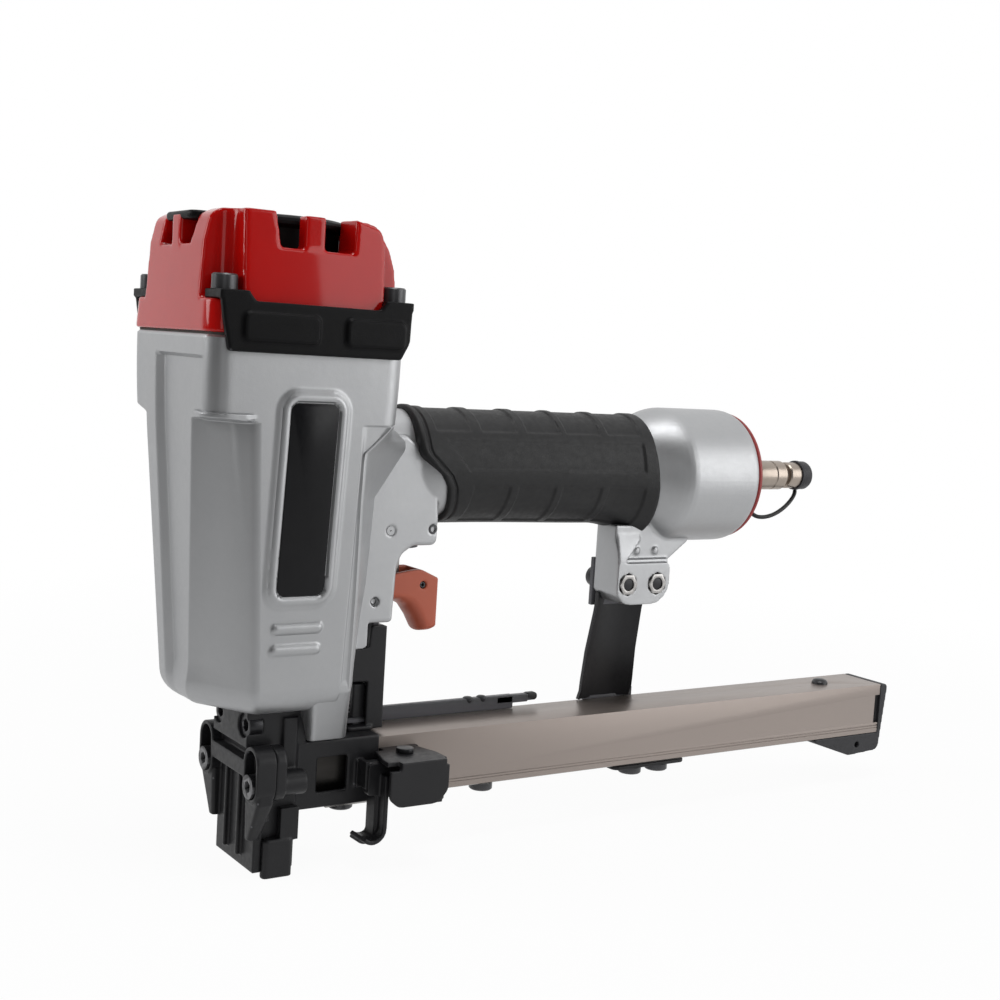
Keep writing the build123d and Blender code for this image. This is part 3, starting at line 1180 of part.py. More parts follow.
def pusher():
    """Follower that straddles the rail: narrow fingers in the nose and a wider block in the cover."""
    finger_y = BLADE_W / 2
    inner_y = RAIL_Y + SLIDE
    block_y = COVER_IN_Y - SLIDE
    top = COVER_IN_TOP - SLIDE
    roof = RAIL_TOP + SLIDE
    legs = (LIP_TOP + PUSHER_LIFT, top)
    step = COVER_FRONT + PUSHER_STEP
    body = box((CHANNEL_X + PUSHER_FRONT_GAP, step + 1), (-finger_y, finger_y), legs)
    body += box((step, PUSHER_REAR), (-block_y, block_y), legs)
    body -= box((0, PUSHER_REAR + 1), (-inner_y, inner_y), (0, roof))
    tongue_y = RAIL_GROOVE_Y - SLIDE
    depth = (RAIL_TOP - RAIL_GROOVE_D + SLIDE, roof + 0.5)
    return body + box((PUSHER_REAR - PUSHER_TONGUE_L, PUSHER_REAR), (-tongue_y, tongue_y), depth)


def pusher_spring():
    z = RAIL_TOP - RAIL_GROOVE_D / 2
    spring = rod_x(0, z, (PUSHER_REAR + SEAT, END_CAP_PLUG - SEAT), PUSHER_SPRING_D)
    return spring - rod_x(0, z, (PUSHER_REAR, END_CAP_PLUG), PUSHER_SPRING_D - 2 * PUSHER_SPRING_WIRE)


def guide_strip():
    """Steel strip on the nose's roof that runs back above the cover's right edge."""
    low = COVER_TOP + SLIDE
    width = (COVER_Y - STRIP_W, COVER_Y)
    last = STRIP_END - STRIP_TAB_L
    strip = box((NOSE_END - STRIP_LAP, last), width, (CHEEK_TOP, CHEEK_TOP + STRIP_H))
    strip += box((NOSE_END + SEAT, last), width, (low, CHEEK_TOP + 1))
    tab = Pos(last, COVER_Y - STRIP_W / 2, low) * SlotOverall(2 * STRIP_TAB_L, STRIP_W)
    return strip + extrude(tab, STRIP_TAB_T)


# Latch

def latch_bracket():
    low, high = LATCH_Z
    near = -LATCH_OUT_Y
    clear_y = -CHEEK_Y - SLIDE
    base_y = -COVER_Y - SEAT
    top = box(LATCH_X, (near, clear_y), (high - LATCH_T, high))
    top += box((LATCH_BASE_X[0], LATCH_X[1]), (near, base_y), (high - LATCH_T, high))
    bottom = box((LATCH_BASE_X[0], LATCH_X[1]), (near, base_y), (low, low + LATCH_T))
    outer = box(LATCH_X, (near, near + LATCH_T), (low, high))
    rear = box((LATCH_X[1] - LATCH_T, LATCH_X[1]), (near, base_y), (low, high))
    base = box(LATCH_BASE_X, (base_y - LATCH_T, base_y), (low, high))
    bracket = top + [bottom, outer, rear, base]
    corner = bracket.edges().filter_by(Axis.Z).filter_by_position(Axis.Y, near - 0.01, near + 0.01)
    bracket = fillet(corner.sort_by(Axis.X)[-1], LATCH_CORNER_R)
    return bracket - rod_z(LATCH_PIN_X, LATCH_PIN_Y, (low - 1, high + 1), LATCH_PIN_D + 2 * SEAT)


def latch_pin():
    low, high = LATCH_Z
    pin = rod_z(LATCH_PIN_X, LATCH_PIN_Y, (low - 0.5, high), LATCH_PIN_D)
    return pin + rod_z(LATCH_PIN_X, LATCH_PIN_Y, (high, high + LATCH_PIN_HEAD_H), LATCH_PIN_HEAD_D)


def latch_lever():
    """Lever on the latch pin: arm with its tooth at the catch, and a curled finger tail."""
    low = LATCH_Z[0] + LATCH_T + SLIDE + LATCH_SPRING_H
    high = LATCH_Z[1] - LATCH_T - SLIDE
    arm_y = (LATCH_PIN_Y - LEVER_ARM_T / 2, LATCH_PIN_Y + LEVER_ARM_T / 2)
    tooth_x = (CATCH_X[0], CATCH_X[0] + LATCH_TOOTH_T)
    lever = rod_z(LATCH_PIN_X, LATCH_PIN_Y, (low, high), LEVER_HUB_D)
    lever += box((tooth_x[0], LATCH_PIN_X), arm_y, (low, high))
    lever += box(tooth_x, (LATCH_PIN_Y, -CHEEK_Y - CATCH_H - SLIDE), (low, high))
    lever += latch_tail(low)
    return lever - rod_z(LATCH_PIN_X, LATCH_PIN_Y, (low - 1, high + 1), LATCH_PIN_D + 2 * RUN)


def latch_tail(top):
    """Strip that hangs from the lever's arm and curls forward at its end."""
    front = TAIL_STRIP_X - TAIL_STRIP_T
    outer = TAIL_CURL_R + TAIL_STRIP_T
    centre = (front - TAIL_CURL_R, TAIL_STRIP_LOW)
    tip = radians(-135)
    mid = radians(-67.5)
    inside = [(centre[0] + TAIL_CURL_R * cos(a), centre[1] + TAIL_CURL_R * sin(a)) for a in (mid, tip)]
    outside = [(centre[0] + outer * cos(a), centre[1] + outer * sin(a)) for a in (mid, tip)]
    root = top + 1.0
    outline = Polyline((front, TAIL_STRIP_LOW), (front, root), (TAIL_STRIP_X, root),
                       (TAIL_STRIP_X, TAIL_STRIP_LOW))
    outline += ThreePointArc((TAIL_STRIP_X, TAIL_STRIP_LOW), outside[0], outside[1])
    outline += Line(outside[1], inside[1])
    outline += ThreePointArc(inside[1], inside[0], (front, TAIL_STRIP_LOW))
    y = (-CHEEK_Y - CATCH_H - SLIDE - TAIL_STRIP_W, -CHEEK_Y - CATCH_H - SLIDE)
    plane = Plane(origin=(0, y[1], 0), x_dir=(1, 0, 0), z_dir=(0, -1, 0))
    return extrude(plane * make_face(outline), y[1] - y[0], dir=(0, -1, 0))


def latch_spring():
    low = LATCH_Z[0] + LATCH_T + SEAT
    height = (low, low + LATCH_SPRING_H)
    return tube_z(height, LEVER_HUB_D - 1.0, LATCH_PIN_D + 1.0, LATCH_PIN_X, LATCH_PIN_Y)


# Strut

def strut():
    """Sheet-metal strut: tab on the lug, slanted channel, upright past the cover, foot under the rail."""
    tab_y = (STRUT_LUG_FAR + SEAT, STRUT_LUG_FAR + SEAT + STRUT_T)
    low_y = (STRUT_IN, STRUT_IN + STRUT_T)
    foot_z = (BAR_BOTTOM - STRUT_FOOT_T, BAR_BOTTOM)
    bend, low_bend = STRUT_BEND_Z, STRUT_LOW_BEND_Z
    flange_top = STRUT_LUG_BOTTOM - SLIDE
    web = [(tab_y[0], bend), (tab_y[1], bend), (low_y[1], low_bend), (low_y[0], low_bend)]
    deep = [(tab_y[0] - STRUT_FLANGE, flange_top), (tab_y[1], flange_top), (low_y[1], low_bend),
            (low_y[0] - STRUT_FLANGE, low_bend)]
    first, last = STRUT_X
    face = [(first, bend), (STRUT_TOP_X, bend), (last, low_bend), (first, low_bend)]
    front = [(first, bend), (first + STRUT_T, bend), (first + STRUT_T, low_bend), (first, low_bend)]
    rear = [(STRUT_TOP_X - STRUT_T, bend), (STRUT_TOP_X, bend), (last, low_bend),
            (last - STRUT_T, low_bend)]
    depth = (-NECK_Y, low_y[1] + 1)
    piece = cross_plate(web, STRUT_X) & side_plate(face, depth)
    piece += box(STRUT_TAB_X, tab_y, (bend, STRUT_TOP))
    piece += box(STRUT_X, low_y, (foot_z[0], low_bend))
    piece += box(STRUT_FOOT_X, (STRUT_FOOT_Y, low_y[1]), foot_z)
    for edge in (front, rear):
        piece += cross_plate(deep, STRUT_X) & side_plate(edge, depth)
    for x in STRUT_BOLT_X:
        piece -= rod_y(x, STRUT_BOLT_Z, (tab_y[0] - 1, tab_y[1] + 1), SCREW_D + 2 * SEAT)
    for x in FOOT_SCREW_X:
        piece -= rod_z(x, 0, (foot_z[0] - 1, foot_z[1] + 1), SCREW_D + 2 * SEAT)
    return piece


def strut_bolts():
    seat = STRUT_LUG_FAR + SEAT + STRUT_T
    length = seat - STRUT_LUG_NEAR - NUT_SINK + NUT_H - 0.4
    return [Pos(x, seat, STRUT_BOLT_Z) * Rot(-90, 0, 0) * socket_screw(length) for x in STRUT_BOLT_X]


def strut_nuts():
    nuts = []
    for x in STRUT_BOLT_X:
        shape = RegularPolygon(NUT_FLATS / 2, 6, major_radius=False) - Circle(SCREW_D / 2 + SEAT)
        nuts.append(extrude(nut_seat(x) * shape, NUT_H))
    return nuts


def strut_foot_screws():
    seat = BAR_BOTTOM - STRUT_FOOT_T
    length = RAIL_BOTTOM - seat + RAIL_SCREW_BITE
    return [Pos(x, 0, seat) * Rot(180, 0, 0) * socket_screw(length) for x in FOOT_SCREW_X]


def write_parts():
    """Build every piece and write one file per piece."""
    makers = [
        main_housing, label_plate, cylinder_cap, exhaust_deflector, left_guard, cap_screws, cap_gasket,
        cylinder_sleeve, cylinder_seals, piston_bumper, head_valve, head_valve_seal, head_valve_spring,
        piston, driver_blade, driver_pin, grip_sleeve, end_ring, handle_end_cap, air_plug, dust_cap,
        dust_cap_strap, trigger, trigger_pin, lever_pin, trigger_lever, valve_body, valve_stem,
        valve_spring, valve_pins, front_plate, nose_screws, nose_body, bracket_screws, contact_foot,
        contact_arm, arm_guide, contact_spring, inner_rail, bottom_bar, rail_screws, magazine_cover,
        magazine_end_cap, cover_screw, pusher, pusher_spring, guide_strip, latch_bracket, latch_pin,
        latch_lever, latch_spring, strut, strut_bolts, strut_nuts, strut_foot_screws]
    pieces = {maker.__name__: maker() for maker in makers}
    pieces["right_guard"] = mirror(pieces["left_guard"], about=Plane.XZ)
    pieces["piston_ring"] = piston_ring_space(0)
    os.makedirs("parts", exist_ok=True)
    for name, piece in pieces.items():
        solid = Compound(children=piece) if isinstance(piece, list) else piece
        export_step(solid, f"parts/{name}.step")


write_parts()
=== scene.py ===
"""Looks of a pneumatic stapler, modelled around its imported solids. Sizes are in millimetres."""

import logging
import math
from collections.abc import Iterator, Sequence
from contextlib import contextmanager
from dataclasses import dataclass
from enum import Enum

import bpy
from mathutils import Matrix, Vector


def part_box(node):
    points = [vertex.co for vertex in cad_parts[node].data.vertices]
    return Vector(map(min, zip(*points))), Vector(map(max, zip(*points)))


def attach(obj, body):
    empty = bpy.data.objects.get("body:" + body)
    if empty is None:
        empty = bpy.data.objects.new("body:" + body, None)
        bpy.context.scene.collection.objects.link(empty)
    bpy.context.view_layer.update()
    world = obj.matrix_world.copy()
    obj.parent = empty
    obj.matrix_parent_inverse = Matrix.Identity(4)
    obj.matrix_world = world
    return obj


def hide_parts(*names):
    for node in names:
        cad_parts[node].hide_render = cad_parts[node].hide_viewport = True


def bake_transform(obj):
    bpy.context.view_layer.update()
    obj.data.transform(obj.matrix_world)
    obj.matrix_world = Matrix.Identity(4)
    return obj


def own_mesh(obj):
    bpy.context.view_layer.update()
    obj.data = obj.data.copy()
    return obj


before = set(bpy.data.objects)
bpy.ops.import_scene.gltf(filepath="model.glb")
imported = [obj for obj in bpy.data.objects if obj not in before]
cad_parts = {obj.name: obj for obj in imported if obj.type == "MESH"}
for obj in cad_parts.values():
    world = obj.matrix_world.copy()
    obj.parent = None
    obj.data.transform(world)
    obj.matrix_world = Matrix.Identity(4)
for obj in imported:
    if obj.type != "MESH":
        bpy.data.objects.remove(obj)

LOG = logging.getLogger("stapler")
Piece = bpy.types.Object
Socket = bpy.types.NodeSocket
Point2 = tuple[float, float]
Point3 = tuple[float, float, float]
Span = tuple[float, float]
Curve = tuple[Point2, ...]
Colour = tuple[float, float, float]

# Metres in a millimetre, angles in degrees and welding gaps in metres
MM = 0.001
FLAT_ANGLE = 2.0
SHARP_ANGLE = 35.0
CAST_ANGLE = 80.0
WELD = 1e-7
NODE_WELD = 1e-6


class Axis(Enum):
    """Direction that a prism, a rod or a turned piece runs in."""

    X = 0
    Y = 1
    Z = 2

    def point(self, a: float, b: float, along: float) -> Vector:
        """Place in metres from the two cross sizes, in x, y, z order, and the one along the axis."""
        cross = [a, b]
        cross.insert(self.value, along)
        return Vector(cross) * MM

    def ring(self, outline: Sequence[Point2], along: float) -> list[Vector]:
        """Outline across the axis, in metres, at one place along it."""
        return [self.point(a, b, along) for a, b in outline]

    def turn(self, flip: bool = False) -> Matrix:
        """Rotation that lays a piece modelled along +Z on this axis, or against it."""
        way = Vector([float(i == self.value) for i in range(3)]) * (-1 if flip else 1)
        return Vector((0, 0, 1)).rotation_difference(way).to_matrix().to_4x4()


# Modelling by hand, in code

def clear_selection() -> None:
    """Deselect everything."""
    bpy.ops.object.select_all(action="DESELECT")


def pick(*pieces: Piece) -> None:
    """Select only these pieces, with the first one active."""
    clear_selection()
    for piece in pieces:
        piece.select_set(True)
    bpy.context.view_layer.objects.active = pieces[0]


@contextmanager
def editing(piece: Piece) -> Iterator[None]:
    """Edit mode on one piece, with all of its mesh selected."""
    pick(piece)
    bpy.ops.object.mode_set(mode="EDIT")
    bpy.ops.mesh.select_all(action="SELECT")
    yield
    bpy.ops.object.mode_set(mode="OBJECT")


def face_outwards() -> None:
    """Turn every face of the mesh being edited outwards."""
    bpy.ops.mesh.select_all(action="SELECT")
    bpy.ops.mesh.normals_make_consistent(inside=False)


def modify(piece: Piece, kind: str, **settings: object) -> Piece:
    """Add a modifier and apply it.

    Args:
        piece: Piece to change.
        kind: Blender's name of the modifier type.
        settings: The modifier's own settings.

    Returns:
        The same piece.
    """
    pick(piece)
    modifier = piece.modifiers.new(kind.lower(), kind)
    for key, value in settings.items():
        setattr(modifier, key, value)
    bpy.ops.object.modifier_apply(modifier=modifier.name)
    return piece


def smooth(piece: Piece, angle: float = 40.0) -> Piece:
    """Shade smooth, with edges over the angle in degrees kept sharp."""
    pick(piece)
    bpy.ops.object.shade_smooth_by_angle(angle=math.radians(angle))
    return piece


def soften(piece: Piece, width: float, segments: int = 3) -> Piece:
    """Round the sharp edges.

    Args:
        piece: Piece to change.
        width: Size of the rounding.
        segments: Faces across the rounding.

    Returns:
        The same piece.
    """
    modify(piece, "BEVEL", width=width * MM, segments=segments, limit_method="ANGLE",
           angle_limit=math.radians(SHARP_ANGLE), miter_outer="MITER_ARC")
    return smooth(piece, SHARP_ANGLE)


def cast(piece: Piece, voxel: float, rounds: int) -> Piece:
    """Melt overlapping shells into one skin with soft edges, as a casting has.

    Args:
        piece: Joined closed shells.
        voxel: Size of the skin's faces.
        rounds: Smoothing passes, which set how soft the edges are.

    Returns:
        The same piece.
    """
    modify(piece, "REMESH", mode="VOXEL", voxel_size=voxel * MM)
    modify(piece, "SMOOTH", factor=0.5, iterations=rounds)
    return smooth(piece, CAST_ANGLE)


def join(name: str, *pieces: Piece) -> Piece:
    """Join pieces into one, with its place kept in its mesh."""
    pick(*pieces)
    if len(pieces) > 1:
        bpy.ops.object.join()
    bpy.ops.object.transform_apply()
    pieces[0].name = name
    return pieces[0]


def cut(piece: Piece, *tools: Piece) -> Piece:
    """Take the tools' shapes out of a piece and remove the tools."""
    tool = join("tool", *tools)
    modify(piece, "BOOLEAN", operation="DIFFERENCE", object=tool, solver="EXACT", use_self=True)
    bpy.data.objects.remove(tool)
    return piece


def twin(piece: Piece, name: str, turn: Matrix) -> Piece:
    """Copy a piece, with a mesh of its own, and move the copy's mesh."""
    other = bpy.data.objects.new(name, piece.data.copy())
    bpy.context.scene.collection.objects.link(other)
    other.data.transform(turn)
    if turn.determinant() < 0:
        other.data.flip_normals()
    return other


def shift(at: Point3) -> Matrix:
    """Move from the origin to a place."""
    return Matrix.Translation(Vector(at) * MM)


# Outlines

def rounded(points: Sequence[Point2], radius: float | Sequence[float], steps: int = 6) -> list[Point2]:
    """Outline with its corners rounded.

    Args:
        points: Corners in order.
        radius: One radius, or one for each corner.
        steps: Straight runs along each rounded corner.

    Returns:
        The points of the new outline.
    """
    nearly_straight, edge_share = 1.55, 0.49
    radii = [radius] * len(points) if isinstance(radius, (int, float)) else list(radius)
    outline: list[Point2] = []
    for i, corner in enumerate(points):
        here = Vector(corner)
        before = Vector(points[i - 1]) - here
        after = Vector(points[(i + 1) % len(points)]) - here
        half = before.angle(after) / 2
        if radii[i] <= 0 or half > nearly_straight:
            outline.append(corner)
            continue
        run = min(radii[i] / math.tan(half), edge_share * before.length, edge_share * after.length)
        start, end = here + before.normalized() * run, here + after.normalized() * run
        centre = here + (before.normalized() + after.normalized()).normalized() * run / math.cos(half)
        a, b = start - centre, end - centre
        sweep = a.angle(b)
        for k in range(steps + 1):
            t = k / steps
            p = centre + (a * math.sin((1 - t) * sweep) + b * math.sin(t * sweep)) / math.sin(sweep)
            outline.append((p.x, p.y))
    return outline


def rectangle(a: Span, b: Span, radius: float = 0.0, steps: int = 6) -> list[Point2]:
    """Rectangle with rounded corners, between two values each way."""
    corners = [(a[0], b[0]), (a[1], b[0]), (a[1], b[1]), (a[0], b[1])]
    return rounded(corners, radius, steps) if radius else corners


def oval(at: Point2, half: Point2, count: int) -> list[Point2]:
    """Ellipse round a place, from its half sizes."""
    turns = [math.tau * k / count for k in range(count)]
    return [(at[0] + half[0] * math.cos(turn), at[1] + half[1] * math.sin(turn)) for turn in turns]


def hexagon(at: Point2, reach: float, turn: float = 0.0) -> list[Point2]:
    """Hexagon round a place, from its middle to a corner, with the first corner at an angle in radians."""
    turns = [turn + k * math.pi / 3 for k in range(6)]
    return [(at[0] + reach * math.cos(angle), at[1] + reach * math.sin(angle)) for angle in turns]


def ease(value: float, low: float, high: float) -> float:
    """Soft step from 0 at low to 1 at high."""
    t = min(max((value - low) / (high - low), 0.0), 1.0)
    return t * t * (3 - 2 * t)


def height_on(curve: Curve, value: float) -> float:
    """Height of a line through points, level beyond its ends."""
    if value <= curve[0][0]:
        return curve[0][1]
    for (a0, b0), (a1, b1) in zip(curve, curve[1:]):
        if value <= a1:
            return b0 + (b1 - b0) * (value - a0) / (a1 - a0)
    return curve[-1][1]


def paces(start: float, end: float, count: int, grid: tuple[float, float, int]) -> list[float]:
    """Shares of a run from start to end, with its middle stretch always at the same places.

    Args:
        start: Value at the run's start.
        end: Value at its end.
        count: Points on each stretch beside the middle one.
        grid: First and last value of the middle stretch, and its number of steps.

    Returns:
        The shares, in order.
    """
    apart = 0.4
    way = 1 if end > start else -1
    low = way * max(way * grid[0], way * start + apart)
    high = way * min(way * grid[1], way * end - apart)
    marks = [start + (low - start) * k / (count + 1) for k in range(1, count + 1)]
    marks += [low + (high - low) * k / grid[2] for k in range(grid[2] + 1)]
    marks += [high + (end - high) * k / (count + 1) for k in range(1, count + 1)]
    return [(mark - start) / (end - start) for mark in marks]


def window(value: float, low: float, high: float, soft: float) -> float:
    """One between low and high, with soft ends outside of them."""
    return ease(value, low - soft, low) * (1 - ease(value, high, high + soft))


def mound(off: float, height: float, half: float) -> float:
    """Height of a round bead at a distance from its middle, none beyond its half width."""
    return height * math.sqrt(max(0.0, 1 - (off / half) ** 2))


# Basic bodies, shaped further by the classes

def plate(name: str, outline: Sequence[Point2], axis: Axis, span: Span) -> Piece:
    """Flat outline, extruded along an axis.

    Args:
        name: Name of the piece.
        outline: Corners in the two cross sizes, in x, y, z order.
        axis: Direction of the extrusion.
        span: Its first and last value.

    Returns:
        A closed prism.
    """
    clear_selection()
    bpy.ops.mesh.primitive_circle_add(vertices=len(outline), radius=MM, fill_type="NGON")
    piece = bpy.context.active_object
    piece.name = name
    for vertex, (a, b) in zip(piece.data.vertices, outline):
        vertex.co = axis.point(a, b, span[0])
    with editing(piece):
        bpy.ops.mesh.extrude_region_move(
            TRANSFORM_OT_translate={"value": axis.point(0, 0, span[1] - span[0])})
        face_outwards()
    return piece


def block(name: str, x: Span, y: Span, z: Span) -> Piece:
    """Box between two values each way, as a start for a piece."""
    return plate(name, rectangle(x, y), Axis.Z, z)


def lathe(name: str, profile: Sequence[Point2], axis: Axis, at: Point2, steps: int = 72) -> Piece:
    """Closed profile, spun round an axis.

    Args:
        name: Name of the piece.
        profile: Points as place along the axis and radius; the last one joins the first.
        axis: Direction of the turning axis.
        at: The axis's place in the two cross sizes.
        steps: Faces around.

    Returns:
        A closed turned body.
    """
    clear_selection()
    bpy.ops.mesh.primitive_circle_add(vertices=len(profile), radius=MM, fill_type="NOTHING")
    piece = bpy.context.active_object
    piece.name = name
    for vertex, (along, radius) in zip(piece.data.vertices, profile):
        vertex.co = axis.point(at[0] + radius, at[1], along)
    way = axis.point(0, 0, 1 / MM)
    with editing(piece):
        bpy.ops.mesh.spin(steps=steps, angle=math.tau, center=axis.point(at[0], at[1], 0), axis=way)
        bpy.ops.mesh.select_all(action="SELECT")
        bpy.ops.mesh.remove_doubles(threshold=WELD)
        bpy.ops.mesh.delete_loose()
        face_outwards()
    return smooth(piece, 30.0)


def rod(name: str, axis: Axis, at: Point2, span: Span, d: float) -> Piece:
    """Turned rod with square ends."""
    first, last = span
    return lathe(name, [(first, 0), (first, d / 2), (last, d / 2), (last, 0)], axis, at)


def skin(name: str, rings: Sequence[Sequence[Vector]]) -> Piece:
    """Closed skin through rings of equally many points, with both ends filled.

    Args:
        name: Name of the piece.
        rings: Rings in order, each a list of points in metres.

    Returns:
        A closed body.
    """
    clear_selection()
    around = len(rings[0])
    bpy.ops.mesh.primitive_grid_add(x_subdivisions=around, y_subdivisions=len(rings) - 1, size=MM)
    piece = bpy.context.active_object
    piece.name = name
    places = [point for ring in rings for point in (*ring, ring[0])]
    for vertex, point in zip(piece.data.vertices, places):
        vertex.co = point
    with editing(piece):
        bpy.ops.mesh.remove_doubles(threshold=WELD)
        bpy.ops.mesh.select_all(action="DESELECT")
        bpy.ops.mesh.select_non_manifold()
        bpy.ops.mesh.fill_holes(sides=0)
        face_outwards()
    return smooth(piece)


def copy_node(node: str, name: str) -> Piece:
    """Copy a solid's mesh into a new piece and merge its loose triangles."""
    piece = bpy.data.objects.new(name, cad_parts[node].data.copy())
    bpy.context.scene.collection.objects.link(piece)
    with editing(piece):
        bpy.ops.mesh.remove_doubles(threshold=NODE_WELD)
    return piece


def recast_node(node: str, name: str, voxel: float, rounds: int) -> Piece:
    """Copy a solid and give it the soft edges of a cast or pressed piece."""
    return cast(copy_node(node, name), voxel, rounds)


def refine_node(node: str, name: str, edge: float) -> Piece:
    """Copy a solid with flat faces and round its edges."""
    piece = copy_node(node, name)
    with editing(piece):
        bpy.ops.mesh.dissolve_limited(angle_limit=math.radians(FLAT_ANGLE))
    return soften(piece, edge)


# Shader nodes and finishes

def srgb(red: int, green: int, blue: int) -> Colour:
    """Colour as seen on a screen, from 0 to 255, in linear light."""
    values = [c / 255 for c in (red, green, blue)]
    return tuple(v / 12.92 if v <= 0.04045 else ((v + 0.055) / 1.055) ** 2.4 for v in values)


class Pattern(Enum):
    """Texture that makes a relief."""

    CLOUD = "ShaderNodeTexNoise"
    PEBBLE = "ShaderNodeTexVoronoi"


@dataclass(frozen=True)
class Grain:
    """One layer of fine relief."""

    pattern: Pattern
    per_mm: float
    depth: float
    stretch: Point3 = (1.0, 1.0, 1.0)


@dataclass(frozen=True)
class Graph:
    """Shader nodes of a material or of the world, added and wired one at a time."""

    tree: bpy.types.NodeTree

    def add(self, kind: str, **settings: object) -> bpy.types.Node:
        """New node of one of Blender's kinds, with its own settings."""
        node = self.tree.nodes.new(kind)
        for key, value in settings.items():
            setattr(node, key, value)
        return node

    def link(self, start: Socket, end: Socket) -> None:
        """Wire an output to an input."""
        self.tree.links.new(start, end)

    def larger(self, first: Socket, second: Socket) -> Socket:
        """Larger one of two values."""
        node = self.add("ShaderNodeMath", operation="MAXIMUM")
        self.link(first, node.inputs[0])
        self.link(second, node.inputs[1])
        return node.outputs[0]

    def ramp(self, value: Socket, source: Span, result: Span, **settings: object) -> Socket:
        """Value stretched from one range to another.

        Args:
            value: Socket of the value.
            source: Its lowest and highest value.
            result: What they become.
            settings: The node's own settings.

        Returns:
            The socket of the stretched value.
        """
        node = self.add("ShaderNodeMapRange", **settings)
        for key, number in zip(("From Min", "From Max", "To Min", "To Max"), (*source, *result)):
            node.inputs[key].default_value = number
        self.link(value, node.inputs["Value"])
        return node.outputs["Result"]

    def texture(self, place: Socket, grain: Grain) -> Socket:
        """Height of a grain.

        Args:
            place: Socket of the object coordinates.
            grain: Pattern, size and stretch.

        Returns:
            The socket that carries the height.
        """
        mapping = self.add("ShaderNodeMapping")
        mapping.inputs["Scale"].default_value = grain.stretch
        texture = self.add(grain.pattern.value)
        texture.inputs["Scale"].default_value = grain.per_mm / MM
        self.link(place, mapping.inputs["Vector"])
        self.link(mapping.outputs["Vector"], texture.inputs["Vector"])
        if grain.pattern is Pattern.CLOUD:
            texture.inputs["Detail"].default_value = 3.0
            return texture.outputs["Fac"]
        return texture.outputs["Distance"]

    def mix_surface(self, share: Socket, first: bpy.types.Node, second: bpy.types.Node, output: str) -> None:
        """Mix two shaders into the surface.

        Args:
            share: Socket of the second shader's share.
            first: First shader.
            second: Second shader.
            output: Name of the output node.
        """
        mix = self.add("ShaderNodeMixShader")
        for start, end in zip((share, first.outputs[0], second.outputs[0]), mix.inputs):
            self.link(start, end)
        self.link(mix.outputs[0], self.tree.nodes[output].inputs["Surface"])


@dataclass(frozen=True)
class Finish:
    """Surface finish: two tones that drift into each other, gloss that varies, and fine relief."""

    slot: str
    light: Colour
    dark: Colour
    roughness: Span
    patches: float = 0.08
    streak: Point3 = (1.0, 1.0, 1.0)
    metallic: float = 0.0
    specular: float = 0.5
    coat: float = 0.0
    coat_roughness: float = 0.06
    # Colour of the painted highlight along outer edges, or none.
    edge: Colour | None = None
    grains: tuple[Grain, ...] = ()
    variant: str = ""

    def material(self) -> bpy.types.Material:
        """Node material of the finish, made once."""
        name = f"{self.slot}{self.variant}_finish"
        if name in bpy.data.materials:
            return bpy.data.materials[name]
        material = bpy.data.materials.new(name)
        material.use_nodes = True
        graph = Graph(material.node_tree)
        shader = material.node_tree.nodes["Principled BSDF"]
        for key, value in (("Metallic", self.metallic), ("Specular IOR Level", self.specular),
                           ("Coat Weight", self.coat), ("Coat Roughness", self.coat_roughness)):
            shader.inputs[key].default_value = value
        place = graph.add("ShaderNodeTexCoord").outputs["Object"]

        cloud = Grain(Pattern.CLOUD, self.patches, 0.0, self.streak)
        tone = graph.add("ShaderNodeMix", data_type="RGBA")
        tone.inputs["A"].default_value = (*self.dark, 1.0)
        tone.inputs["B"].default_value = (*self.light, 1.0)
        graph.link(graph.texture(place, cloud), tone.inputs["Factor"])
        colour = tone.outputs["Result"]
        # Painted highlight along outer edges, where the finish gives an edge colour.
        if self.edge:
            colour = self._painted_edge_highlight(graph, colour)
        graph.link(colour, shader.inputs["Base Color"])

        haze = Grain(Pattern.CLOUD, 6 * self.patches, 0.0, self.streak)
        gloss = graph.ramp(graph.texture(place, haze), (0.3, 0.7), self.roughness)
        graph.link(gloss, shader.inputs["Roughness"])

        below = None
        for grain in self.grains:
            bump = graph.add("ShaderNodeBump")
            bump.inputs["Strength"].default_value = 1.0
            bump.inputs["Distance"].default_value = grain.depth * MM
            graph.link(graph.texture(place, grain), bump.inputs["Height"])
            if below:
                graph.link(below, bump.inputs["Normal"])
            below = bump.outputs["Normal"]
        if below:
            graph.link(below, shader.inputs["Normal"])
        return material

    def _painted_edge_highlight(self, graph: Graph, colour: Socket) -> Socket:
        """Painted highlight: lighter colour along outer edges, standing in for the light that catches them.

        Args:
            graph: The material's nodes.
            colour: Socket of the finish's own colour.

        Returns:
            The socket of the colour with the painted edge highlight.
        """
        point = graph.add("ShaderNodeNewGeometry").outputs["Pointiness"]
        mix = graph.add("ShaderNodeMix", data_type="RGBA")
        mix.inputs["B"].default_value = (*self.edge, 1.0)
        graph.link(graph.ramp(point, (0.54, 0.66), (0.0, 1.0)), mix.inputs["Factor"])
        graph.link(colour, mix.inputs["A"])
        return mix.outputs["Result"]


SAND = (Grain(Pattern.CLOUD, 2.2, 0.02), Grain(Pattern.CLOUD, 0.5, 0.03))
SPARK = (Grain(Pattern.PEBBLE, 2.6, 0.03),)
BRUSH = (Grain(Pattern.CLOUD, 5.0, 0.003, (0.02, 1.0, 1.0)),)
TURNED = (Grain(Pattern.CLOUD, 3.0, 0.004, (1.0, 0.05, 0.05)),)
